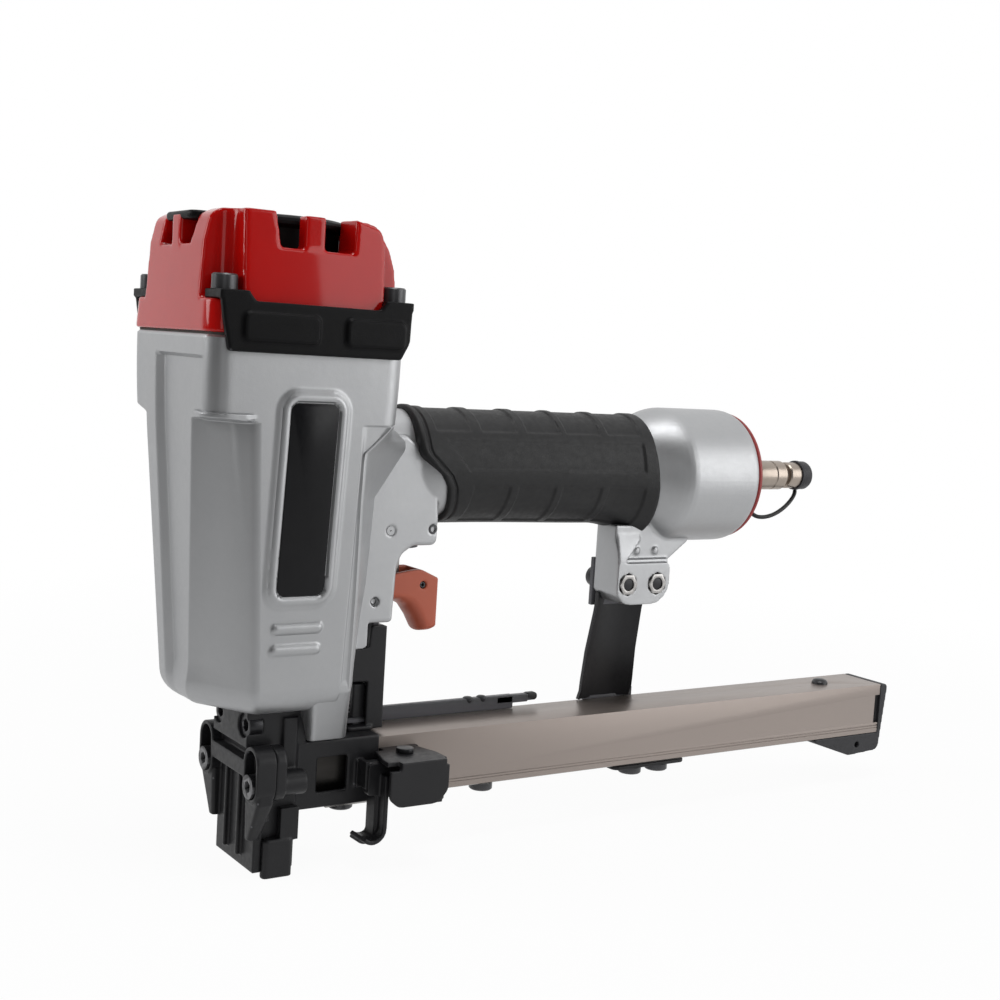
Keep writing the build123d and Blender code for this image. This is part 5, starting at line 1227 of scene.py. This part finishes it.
    def build_plug(self) -> Piece:
        """Nickel plug: hexagon, collar, groove and tip."""
        z = self.plug_z
        outline = hexagon((0, z), self.plug_flats / math.sqrt(3))
        nut = soften(plate("nut", outline, Axis.X, (220, 229)), 0.5)
        cut(nut, rod("hole", Axis.X, (0, z), (219, 230), 10.0))
        profile = [(208, 3.5), (208, 5.1), (208.5, 5.5), (222, 5.5), (222, 5.9), (232.2, 5.9), (232.4, 6.2),
                   (232.8, 6.4), (243.6, 6.4), (244.0, 6.0), (244.6, 6.0), (245.0, 6.4), (250.2, 6.4),
                   (250.6, 6.1), (250.8, 4.2), (253.2, 4.2), (253.6, 5.4), (254.2, 5.8), (262.8, 5.8),
                   (263.5, 5.2), (263.5, 3.5)]
        turned = lathe("turned", profile, Axis.X, (0, z))
        return smooth(join("plug", nut, turned), 30)

    def build_dust_cap(self) -> Piece:
        """Dust cap over the plug's tip, with a bead round its rim."""
        profile = [(260, 5.86), (260, 6.5), (260.5, 6.6), (261.4, 6.6), (261.9, 6.3), (265.2, 6.3),
                   (266.0, 5.9), (266.3, 5.0), (266.3, 0), (263.8, 0), (263.8, 5.86)]
        return lathe("cap_cup", profile, Axis.X, (0, self.plug_z))

    def build_strap(self) -> Piece:
        """Moulded strap from a collar on the plug to the dust cap's rim."""
        z = self.plug_z
        route = [(230.6, 0, z - 6.6), (230.8, -1.2, z - 9.5), (230.6, -3.6, z - 14.4),
                 (233.0, -5.6, z - 18.4), (242, -6.0, z - 18.0), (251, -4.6, z - 14.6),
                 (258.5, -2.2, z - 10.4), (261.4, -0.6, z - 7.8), (261.6, 0, z - 6.9)]
        curve = bpy.data.curves.new("strap_line", "CURVE")
        curve.dimensions = "3D"
        curve.resolution_u = 12
        line = curve.splines.new("NURBS")
        line.points.add(len(route) - 1)
        for point, place in zip(line.points, route):
            point.co = (*(Vector(place) * MM), 1.0)
        line.order_u = 4
        line.use_endpoint_u = True
        curve.bevel_depth = self.strap_d / 2 * MM
        curve.bevel_resolution = 5
        curve.use_fill_caps = True
        strap = bpy.data.objects.new("strap_line", curve)
        bpy.context.scene.collection.objects.link(strap)
        pick(strap)
        bpy.ops.object.convert(target="MESH")
        profile = [(229.3, 5.95), (229.3, 6.9), (229.5, 7.1), (231.7, 7.1), (231.9, 6.9), (231.9, 5.95)]
        collar = lathe("collar", profile, Axis.X, (0, z), 56)
        return smooth(join("cap_strap", strap, collar), 50)

    def build(self) -> None:
        """Model and dress the handle's pieces."""
        publish(self.build_grip(), "housing", BLACK_RUBBER, "grip_sleeve")
        self.build_end()
        publish(self.build_plug(), "housing", NICKEL, "air_plug")
        publish(self.build_dust_cap(), "dust_cap", DARK_PLASTIC, "dust_cap")
        strap = dress(self.build_strap(), BLACK_RUBBER)
        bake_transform(strap)
        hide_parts("dust_cap_strap")


@dataclass
class Trigger:
    """Trigger with its lever and its pins, and the pins that hold the valve."""

    pivot: Point2 = (40.0, 95.0)
    lever: Point2 = (65.0, 99.0)
    valve_pins: tuple[Point2, Point2] = ((45.0, 121.0), (63.0, 121.3))
    half: float = 14.8
    width: float = 6.8
    nose_round: float = 4.6
    finger_z: Span = (94.4, 99.0)
    finger_steps: int = 12
    rear_x: float = 71.4
    well_y: Span = (-4.6, 4.6)

    @staticmethod
    def roll_pin(name: str, at: Point2, half: float, d: float, bore: float) -> Piece:
        """Hollow pin across the tool."""
        r, c = d / 2, 0.4
        profile = [(-half, bore / 2), (-half, r - c), (-half + c, r), (half - c, r), (half, r - c),
                   (half, bore / 2)]
        return lathe(name, profile, Axis.Y, at, 40)

    def build_finger(self) -> Piece:
        """Trigger with a hollow finger side, open above for the lever."""
        outline = [(36.4, 98.6), (44, 101.2), (53.8, 103.8), (60.8, 104.8), (64, 104.9), (71.6, 101.4),
                   (69.6, 80.6), (65.4, 80.6), (62.4, 86.0), (58.8, 90.8), (55.4, 92.6), (51, 93.2),
                   (44, 91.4), (36.4, 91.0)]
        section = rounded(outline, [2, 0, 5, 4, 4, 0.8, 1.0, 1.6, 6, 5, 5, 4, 0, 2])
        rings = []
        for k in range(-self.finger_steps, self.finger_steps + 1):
            turn = math.radians(90 * k / self.finger_steps)
            draw = self.nose_round * (1 - math.cos(turn))
            ring = []
            for x, z in section:
                move = 0.7 * draw * (1 - ease(z, *self.finger_z))
                ring.append(Axis.Y.point(min(x + move, self.rear_x), z + move, self.width * math.sin(turn)))
            rings.append(ring)
        finger = skin("trigger_shell", rings)
        cut(finger, block("well", (30, 64.0), self.well_y, (96.6, 110)),
            block("gap", (30, 50.5), self.well_y, (88, 100)), rod("eye", Axis.Y, self.lever, (-12, 12), 2.9))
        return cast(finger, 0.3, 4)

    def build(self) -> None:
        """Model and dress the trigger's pieces."""
        publish(self.build_finger(), "trigger", ORANGE_PAINT, "trigger")
        publish(self.roll_pin("pivot_pin", self.pivot, 13.5, 5.0, 1.8), "housing", BLACK_OXIDE, "trigger_pin")
        publish(self.roll_pin("finger_pin", self.lever, 6.2, 2.8, 1.4), "trigger", BLACK_OXIDE, "lever_pin")
        flush, hollow = self.valve_pins
        flush_pin = self.roll_pin("flush_pin", flush, self.half, 4.0, 0.6)
        publish(flush_pin, "housing", SILVER_PAINT, "valve_pins")
        hollow_pin = self.roll_pin("hollow_pin", hollow, self.half, 4.0, 2.0)
        publish(hollow_pin, "housing", BLACK_OXIDE, "valve_pins")
        lever = recast_node("trigger_lever", "lever_plate", 0.3, 3)
        publish(lever, "trigger_lever", BLACK_STEEL, "trigger_lever")


@dataclass
class Nose:
    """Front plate, nose body with its bracket, screws, and the contact parts."""

    guide_y: Span = (4.6, 6.2)
    guide_z: Span = (45.2, 84.4)
    gusset: tuple[tuple[float, float, float, float], ...] = (
        (30.0, -7.6, -1.4, 25.2), (27.0, -7.6, -1.4, 25.0), (20.0, -7.4, -2.0, 21.4),
        (12.5, -7.2, -2.8, 17.6))
    gusset_y: float = 14.0

    def build_guide(self) -> Piece:
        """Upright channel for the contact arm: two pressed sides with a wing, and a back."""
        low, high = self.guide_z
        outline = [(35.8, 63.4), (43.8, 63.4), (43.8, low), (50.9, low), (50.6, high), (44.2, high),
                   (43.6, 76.3), (35.8, 75.3)]
        inner, outer = self.guide_y
        parts = [plate("side", rounded(outline, [0.6, 0.6, 0.6, 0.6, 1.6, 1.6, 0.6, 1.0]), Axis.Y, span)
                 for span in ((-outer, -inner), (inner, outer))]
        parts.append(block("back", (49.2, 50.8), (-outer, outer), (low, high - 0.4)))
        parts.append(plate("base", rectangle((36.0, 46.4), (-outer - 0.8, outer), 1.0), Axis.Z, (44.9, 46.6)))
        parts.append(block("stop", (39.4, 44.4), (-3.4, 3.4), (low, 62.0)))
        return cast(join("link_guide", *parts), 0.32, 3)

    def build_front(self) -> Piece:
        """Front plate with a tapering gusset under each ear."""
        front = copy_node("front_plate", "nose_front")
        gussets = []
        for way in (-1, 1):
            rings = []
            for z, first, last, out in self.gusset:
                y = tuple(sorted((way * self.gusset_y, way * out)))
                rings.append(Axis.Z.ring(rectangle((first, last), y, 1.2), z))
            gussets.append(skin("gusset", rings))
        return cast(join("nose_front", front, *gussets), 0.32, 4)

    def build_shoe(self) -> Piece:
        """Contact foot with a well-rounded near leg."""
        outline = rounded([(-1.2, -15.2), (-1.2, -18.5), (10.2, -18.5), (10.2, -15.2)], [0.6, 2.8, 1.6, 0.6])
        leg = soften(plate("leg", outline, Axis.Z, (-2.2, 11.8)), 0.8)
        return cast(join("contact_shoe", copy_node("contact_foot", "contact_shoe"), leg), 0.3, 5)

    def build(self) -> None:
        """Model and dress the nose's pieces."""
        publish(self.build_front(), "housing", BLACK_STEEL, "front_plate")
        publish(recast_node("nose_body", "nose_casting", 0.44, 4), "housing", BLACK_STEEL, "nose_body")
        publish(self.build_shoe(), "contact", BLACK_STEEL, "contact_foot")
        publish(refine_node("contact_arm", "contact_link", 0.3), "contact", BLACK_STEEL, "contact_arm")
        publish(self.build_guide(), "housing", BLACK_STEEL, "arm_guide")
        for node in ("nose_screws", "bracket_screws"):
            publish(refine_node(node, f"{node}_set", 0.3), "housing", BLACK_OXIDE, node)


@dataclass
class Magazine:
    """Inner rail on its bar, the sliding cover with its end cap, the pusher, the guide strip and screws."""

    edge: float = 0.5
    seam_z: tuple[float, float] = (23.9, 22.7)
    seam: Point2 = (0.32, 0.4)
    side_y: float = 11.65
    plug_y: Span = (-9.9, 9.9)
    strip_y: Span = (8.4, 11.6)
    low_screw: Screw = Screw(head_d=9.4, head_h=3.0, socket_depth=1.6)
    screw_l: float = 12.0
    rail_seats: tuple[Point3, ...] = ((38.0, 0.0, 17.4), (101.0, 0.0, 17.4))

    def build_cover(self) -> Piece:
        """Extruded cover with a double seam line low on each side."""
        cover = refine_node("magazine_cover", "cover", 0.9)
        wide, deep = self.seam
        inner, outer = self.side_y - deep, 13.0
        seams = []
        for z in self.seam_z:
            for y in ((-outer, -inner), (inner, outer)):
                seams.append(block("seam", (40, 320), y, (z - wide / 2, z + wide / 2)))
        return smooth(cut(cover, *seams), SHARP_ANGLE)

    def build_strip(self) -> Piece:
        """Pressed strip with a tongue at its end and two dimples."""
        bar = soften(block("bar", (39.7, 120.2), self.strip_y, (43.5, 49.0)), 0.5)
        neck = soften(block("tongue", (112, 127.6), self.strip_y, (45.6, 48.8)), 0.5)
        outline = [(125.6, 46.0), (132.4, 46.0), (132.4, 49.2), (128, 49.2), (125.6, 48.4)]
        nub = plate("nub", rounded(outline, [0, 1.5, 1.5, 1.5, 0]), Axis.Y, (8.6, 11.5))
        parts = [bar, neck, soften(nub, 0.5)]
        middle = sum(self.strip_y) / 2
        profile = [(47, 0), (47, 1.5), (48.4, 2.2), (49.1, 2.1), (49.5, 1.5), (49.7, 0)]
        for x in (99.0, 105.5):
            parts.append(lathe("dimple", profile, Axis.Z, (x, middle), 24))
        return smooth(join("top_strip", *parts), 40)

    def build_end(self) -> Piece:
        """Moulded end cap with its sloping foot and a pin hole."""
        outline = [(276.0, 20.3), (276.3, 18.6), (298.6, 10.9), (318.0, 12.0), (321.2, 43.5), (316.8, 43.5),
                   (316.8, 20.3)]
        shell = plate("shell", rounded(outline, [0.5, 1.2, 3.5, 3.5, 2.5, 0.5, 0]), Axis.Y, (-11.9, 11.9))
        cut(shell, rod("pin_hole", Axis.Y, (303.6, 15.6), (-13, 13), 2.8))
        cut(shell, block("rail_slot", (270, 302.5), (-3.8, 3.8), (17.0, 22.0)))
        plug = block("plug", (306.0, 318.0), self.plug_y, (24.2, 41.4))
        tongue = block("tongue", (280.0, 307.0), self.plug_y, (39.6, 41.4))
        return cast(join("cover_end", shell, plug, tongue), 0.36, 3)

    def build(self) -> None:
        """Model and dress the magazine's pieces."""
        # The rail and the pusher take steel darkened with painted shade.
        publish(refine_node("inner_rail", "rail", self.edge), "housing", DULL_SHADED_STEEL, "inner_rail")
        publish(refine_node("bottom_bar", "rail_foot", self.edge), "housing", BRIGHT_STEEL, "bottom_bar")
        screws = self.low_screw.place("rail_screw_set", self.screw_l, self.rail_seats, Axis.Z, flip=True)
        publish(screws, "housing", BLACK_OXIDE, "rail_screws")
        publish(self.build_strip(), "housing", BLACK_STEEL, "guide_strip")
        publish(self.build_cover(), "cover", ANODISED, "magazine_cover")
        publish(self.build_end(), "cover", DARK_PLASTIC, "magazine_end_cap")
        dome = [(39.6, 0), (39.6, 2.0), (43.4, 2.0), (43.4, 3.7), (44.4, 3.6), (45.2, 2.9), (45.6, 1.8),
                (45.7, 0)]
        publish(lathe("cover_end_screw", dome, Axis.Z, (288.0, 0), 40), "cover", BLACK_OXIDE, "cover_screw")
        publish(refine_node("pusher", "staple_pusher", 0.3), "pusher", DULL_SHADED_STEEL, "pusher")


@dataclass
class Latch:
    """Sprung latch at the front of the cover."""

    voxel: float = 0.3
    sheet: float = 1.6
    out_y: float = 34.0
    base_y: float = -11.7
    z: Span = (22.8, 39.4)
    tail_x: float = 43.2
    tail_y: Span = (-27.2, -15.8)
    tail_z: Span = (13.4, 33.0)
    curl_r: float = 5.4
    curl_turn: float = 136.0
    curl_steps: int = 17

    def build_hood(self) -> Piece:
        """Pressed hood: top with a slanted corner, outer flange with cut corners, rear and base."""
        low, high = self.z
        near, t = -self.out_y, self.sheet
        top = [(43.0, -15.4), (39.9, -27), (39.9, near), (64.4, near), (64.4, -24), (61.5, -14.5),
               (61.5, self.base_y), (46.8, self.base_y), (46.8, -15.4)]
        outer = [(39.9, high), (64.4, high), (64.4, 27.5), (60.0, low + 0.3), (43.6, low + 0.3), (39.9, 26.4)]
        parts = [plate("top", rounded(top, [1, 2, 0.6, 0.6, 3, 2, 0, 0, 0]), Axis.Z, (high - t, high)),
                 plate("outer", rounded(outer, [0.6, 0.6, 5, 5, 4, 3]), Axis.Y, (near, near + t)),
                 block("rear", (61.4, 63.0), (near + 0.8, self.base_y), (low + 1.5, high - 0.5)),
                 block("base", (46.8, 62.6), (-13.2, self.base_y), (low + 1.5, high)),
                 block("under", (46.8, 62.6), (near + 1.0, self.base_y), (low + 0.2, low + t))]
        hood = join("latch_hood", *parts)
        notch = rounded([(38, 36.6), (43.6, 36.6), (44.4, 37.6), (44.4, 41), (38, 41)], [0, 1, 1, 0, 0])
        cut(hood, plate("notch", notch, Axis.Y, (-36, -31.2)),
            block("nick", (63.2, 66), (-36, -31.6), (37.2, 41)))
        return cast(hood, self.voxel, 3)

    def build_tongue(self) -> Piece:
        """Lever with its broad plate and the wide strip that hangs from it and curls forward."""
        lever = copy_node("latch_lever", "latch_tongue")
        t, x = self.sheet, self.tail_x
        low, high = self.tail_z
        turns = [-math.radians(self.curl_turn * k / self.curl_steps) for k in range(self.curl_steps + 1)]
        outer, inner = ([(x - self.curl_r + r * math.cos(turn), low + r * math.sin(turn)) for turn in turns]
                        for r in (self.curl_r, self.curl_r - t))
        strip = plate("strip", [(x, high), *outer, *inner[::-1], (x - t, high)], Axis.Y, self.tail_y)
        face = plate("face", rectangle((36.6, 56), (25.2, 37.0), 1.5), Axis.Y, (-23.4, -19.4))
        return cast(join("latch_tongue", lever, strip, face), self.voxel, 3)

    def build(self) -> None:
        """Model and dress the latch."""
        publish(self.build_hood(), "cover", BLACK_STEEL, "latch_bracket")
        publish(self.build_tongue(), "latch", BLACK_STEEL, "latch_lever")
        publish(refine_node("latch_pin", "latch_rivet", 0.4), "cover", BLACK_OXIDE, "latch_pin")


@dataclass
class Strut:
    """Sheet-metal strut between the handle's lug and the rail, with its screws and nuts."""

    sheet: float = 2.2
    levels: tuple[tuple[float, float, float, float], ...] = (
        (92.0, 2.05, 151.8, 177.0), (88.0, 2.1, 151.8, 176.9), (84.0, 2.8, 151.8, 176.8),
        (66.0, 7.2, 152.0, 178.6), (52.0, 10.9, 153.4, 181.2), (48.0, 11.9, 154.2, 182.0),
        (43.7, 12.4, 155.0, 182.6))
    depth: float = 4.8
    flange: Point2 = (0.28, 0.22)
    upright: tuple[Span, Span, Span] = ((160.0, 185.5), (12.3, 14.5), (15.8, 47.0))
    tab: tuple[Span, Span, Span] = ((152.0, 177.0), (2.1, 4.3), (86.0, 106.0))
    foot: tuple[Span, Span, Span] = ((165.0, 204.0), (-5.0, 14.4), (15.8, 17.4))
    screw: Screw = Screw(head_d=10.0, head_h=2.8, socket_depth=1.5)
    screw_l: float = 13.0
    foot_seats: tuple[Point3, ...] = ((177.0, 0.0, 15.8), (191.5, 0.0, 15.8))

    def build_sheet(self) -> Piece:
        """Bent strut: shallow channel with spread flanges, upright beside the cover, and its foot."""
        rings = []
        for z, web, first, last in self.levels:
            deep, wide = self.depth * ease(z, 38.0, 50.0), last - first
            left, right = first + self.flange[0] * wide, last - self.flange[1] * wide
            line = [(first, web - deep), (left, web), (right, web), (last, web - 0.8 * deep)]
            back = [(x, y + self.sheet) for x, y in line[::-1]]
            rings.append(Axis.Z.ring(line + back, z))
        foot = plate("foot", rectangle(self.foot[0], self.foot[1], 3.0), Axis.Z, self.foot[2])
        flats = [block("flat", *box) for box in (self.upright, self.tab)]
        parts = [soften(part, 0.4) for part in (skin("channel", rings), foot, *flats)]
        return smooth(join("strut_sheet", *parts), SHARP_ANGLE)

    def build(self) -> None:
        """Model and dress the strut."""
        publish(self.build_sheet(), "housing", BLACK_STEEL, "strut")
        publish(refine_node("strut_bolts", "strut_bolt_set", 0.3), "housing", BLACK_OXIDE, "strut_bolts")
        publish(refine_node("strut_nuts", "strut_nut_set", 0.4), "housing", BRIGHT_STEEL, "strut_nuts")
        screws = self.screw.place("strut_foot_set", self.screw_l, self.foot_seats, Axis.Z, flip=True)
        publish(screws, "housing", BLACK_OXIDE, "strut_foot_screws")


@dataclass(frozen=True)
class Coil:
    """Compression spring, wound inside the box of the solid that it stands for.

    Attributes:
        node: Solid that it stands for, whose box gives its size.
        body: Body that carries its fixed end, at the far side of the axis.
        joint: Joint that squeezes the spring; not used.
        axis: Direction that it runs in.
        travel: Way that the joint squeezes it by; not used.
        wire: Thickness of its wire.
        turns: Number of its turns.
    """

    node: str
    body: str
    joint: str
    axis: Axis
    travel: float
    wire: float
    turns: int

    def build(self) -> None:
        """Wind the wire inside the solid's box, dress it and hang it on its body."""
        low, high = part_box(self.node)
        middle, size = (low + high) / 2 / MM, (high - low) / MM
        first, second = (i for i in range(3) if i != self.axis.value)
        length, half, pace = size[self.axis.value], self.wire / 2, 20
        start = middle[self.axis.value] - length / 2 + half
        rings = []
        for k in range(pace * self.turns + 1):
            turn = math.tau * k / pace
            along = start + (length - self.wire) * k / (pace * self.turns)
            ring = []
            for out, rise in oval((size[first] / 2 - half, along), (half, half), 8):
                a, b = middle[first] + out * math.cos(turn), middle[second] + out * math.sin(turn)
                ring.append(self.axis.point(a, b, rise))
            rings.append(ring)
        coil = publish(smooth(skin(f"{self.node}_coil", rings), 60), self.body, SPRING_STEEL, self.node)
        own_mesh(coil)


@dataclass
class Works:
    """Inner pieces: solids that only get a finish, and the springs that their joints squeeze."""

    finishes: tuple[tuple[Finish, tuple[str, ...]], ...] = (
        (DARK_PLASTIC, ("head_valve", "piston_ring", "valve_body")),
        (BRIGHT_STEEL, ("driver_blade", "driver_pin", "valve_stem")),
        (BARE_ALUMINIUM, ("cylinder_sleeve", "piston")),
        (SEAL_RUBBER, ("cylinder_seals", "piston_bumper", "head_valve_seal")),
        (SPRING_STEEL, ("latch_spring",)),
    )
    coils: tuple[Coil, ...] = (
        Coil("head_valve_spring", "housing", "head_valve_lift", Axis.Z, 4.5, 2.0, 4),
        Coil("valve_spring", "housing", "trigger_pull", Axis.Z, 3.2, 0.9, 4),
        Coil("contact_spring", "housing", "contact_slide", Axis.Z, 2.0, 1.0, 5),
        Coil("pusher_spring", "cover", "pusher_slide", Axis.X, 200.0, 0.8, 40),
    )

    def build(self) -> None:
        """Dress the inner solids and wind the springs."""
        for finish, nodes in self.finishes:
            for node in nodes:
                dress(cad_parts[node], finish)
        for coil in self.coils:
            coil.build()


@dataclass(frozen=True)
class Lamp:
    """Square soft light."""

    name: str
    at: Point3
    width: float
    watts: float


@dataclass
class Studio:
    """Camera, soft lights, white floor and white background."""

    camera_at: Point3 = (-223.0, -482.3, 188.4)
    right: Point3 = (0.8313, -0.5525, 0.0622)
    down: Point3 = (-0.0035, -0.1172, -0.9931)
    forward: Point3 = (0.5559, 0.8253, -0.0994)
    lens: float = 53.64
    floor_at: Point3 = (140.0, 0.0, -2.0)
    floor_size: float = 8000.0
    floor_colour: Colour = (0.86, 0.86, 0.86)
    aim: Point3 = (110.0, 0.0, 110.0)
    bright_side: Point3 = (0.8, 0.6, 0.0)
    ambient: float = 0.3
    lamps: tuple[Lamp, ...] = (
        Lamp("left", (-900, 450, 550), 540, 4.7),
        Lamp("right", (926, -900, 455), 900, 5.9),
        Lamp("above", (60, -200, 1200), 460, 4.9),
        Lamp("fill", (-490, -1148, 400), 500, 0.8),
    )

    def place_camera(self) -> None:
        """Camera at the photograph's angle."""
        clear_selection()
        bpy.ops.object.camera_add()
        camera = bpy.context.active_object
        camera.data.lens = self.lens
        camera.data.sensor_width = 36.0
        camera.data.clip_start = 0.01
        columns = [Vector(self.right), -Vector(self.down), -Vector(self.forward)]
        turn = Matrix(columns).transposed().to_4x4()
        camera.matrix_world = shift(self.camera_at) @ turn
        bpy.context.scene.camera = camera

    def hang_light(self, lamp: Lamp) -> None:
        """Hang a soft light that looks at the tool."""
        clear_selection()
        bpy.ops.object.light_add(type="AREA", location=Vector(lamp.at) * MM)
        light = bpy.context.active_object
        light.name = lamp.name
        light.data.shape = "SQUARE"
        light.data.size = lamp.width * MM
        light.data.energy = lamp.watts
        way = (Vector(self.aim) - Vector(lamp.at)).normalized()
        light.rotation_euler = way.to_track_quat("-Z", "Y").to_euler()

    @staticmethod
    def seen(graph: Graph, path: bpy.types.Node) -> Socket:
        """One where a ray comes from the camera, a reflection or a clear piece."""
        rays = [path.outputs[f"Is {kind} Ray"] for kind in ("Camera", "Glossy", "Transmission")]
        return graph.larger(graph.larger(rays[0], rays[1]), rays[2])

    def room(self, graph: Graph, path: bpy.types.Node, place: Socket, source: Span, result: Span) -> Socket:
        """Brightness of the room: full for the camera, and for reflections darker away from its bright side.

        Args:
            graph: Nodes of the floor or of the world.
            path: Node that tells the kinds of rays apart.
            place: Socket of the place or the direction.
            source: How far towards the bright side the darkest and the lightest part lie.
            result: Brightness of the two.

        Returns:
            The socket of the brightness.
        """
        way = graph.add("ShaderNodeVectorMath", operation="DOT_PRODUCT")
        way.inputs[1].default_value = self.bright_side
        graph.link(place, way.inputs[0])
        return graph.larger(path.outputs["Is Camera Ray"], graph.ramp(way.outputs["Value"], source, result))

    def lay_floor(self) -> None:
        """White floor that keeps a faint shadow."""
        clear_selection()
        bpy.ops.mesh.primitive_plane_add(size=self.floor_size * MM, location=Vector(self.floor_at) * MM)
        floor = bpy.context.active_object
        floor.name = "floor"
        material = bpy.data.materials.new("floor_white")
        material.use_nodes = True
        shader = material.node_tree.nodes["Principled BSDF"]
        shader.inputs["Base Color"].default_value = (*self.floor_colour, 1.0)
        shader.inputs["Roughness"].default_value = 0.9
        shader.inputs["Specular IOR Level"].default_value = 0.0
        graph = Graph(material.node_tree)
        path = graph.add("ShaderNodeLightPath")
        place = graph.add("ShaderNodeTexCoord").outputs["Object"]
        glow = graph.add("ShaderNodeEmission")
        graph.link(self.room(graph, path, place, (-0.9, 0.0), (0.04, 0.95)), glow.inputs["Strength"])
        far = graph.add("ShaderNodeVectorMath", operation="LENGTH")
        graph.link(place, far.inputs[0])
        fade = graph.ramp(far.outputs["Value"], (0.25, 0.7), (0.95, 1.0), interpolation_type="SMOOTHSTEP")
        share = graph.add("ShaderNodeMath", operation="MULTIPLY")
        graph.link(self.seen(graph, path), share.inputs[0])
        graph.link(fade, share.inputs[1])
        graph.mix_surface(share.outputs[0], shader, glow, "Material Output")
        floor.data.materials.append(material)

    def fill_world(self) -> None:
        """White for the camera, a bright and a dark side in reflections, soft grey light for the rest."""
        world = bpy.data.worlds.new("studio")
        bpy.context.scene.world = world
        world.use_nodes = True
        ambient = world.node_tree.nodes["Background"]
        ambient.inputs["Color"].default_value = (1, 1, 1, 1)
        ambient.inputs["Strength"].default_value = self.ambient
        graph = Graph(world.node_tree)
        path = graph.add("ShaderNodeLightPath")
        place = graph.add("ShaderNodeTexCoord").outputs["Generated"]
        white = graph.add("ShaderNodeBackground")
        white.inputs["Color"].default_value = (1, 1, 1, 1)
        graph.link(self.room(graph, path, place, (-0.25, 0.25), (0.03, 1.0)), white.inputs["Strength"])
        graph.mix_surface(self.seen(graph, path), ambient, white, "World Output")

    def build(self) -> None:
        """Set up the studio."""
        self.place_camera()
        for lamp in self.lamps:
            self.hang_light(lamp)
        self.lay_floor()
        self.fill_world()
        bpy.context.scene.view_settings.view_transform = "Standard"


def main() -> None:
    """Build every sub-assembly in order."""
    logging.basicConfig(level=logging.INFO, format="%(name)s: %(message)s")
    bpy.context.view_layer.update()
    for part in (Housing(), Cap(), Handle(), Trigger(), Nose(), Magazine(), Latch(), Strut(), Works()):
        LOG.info("building %s", type(part).__name__)
        part.build()
    Studio().build()


if __name__ == "__main__":
    main()
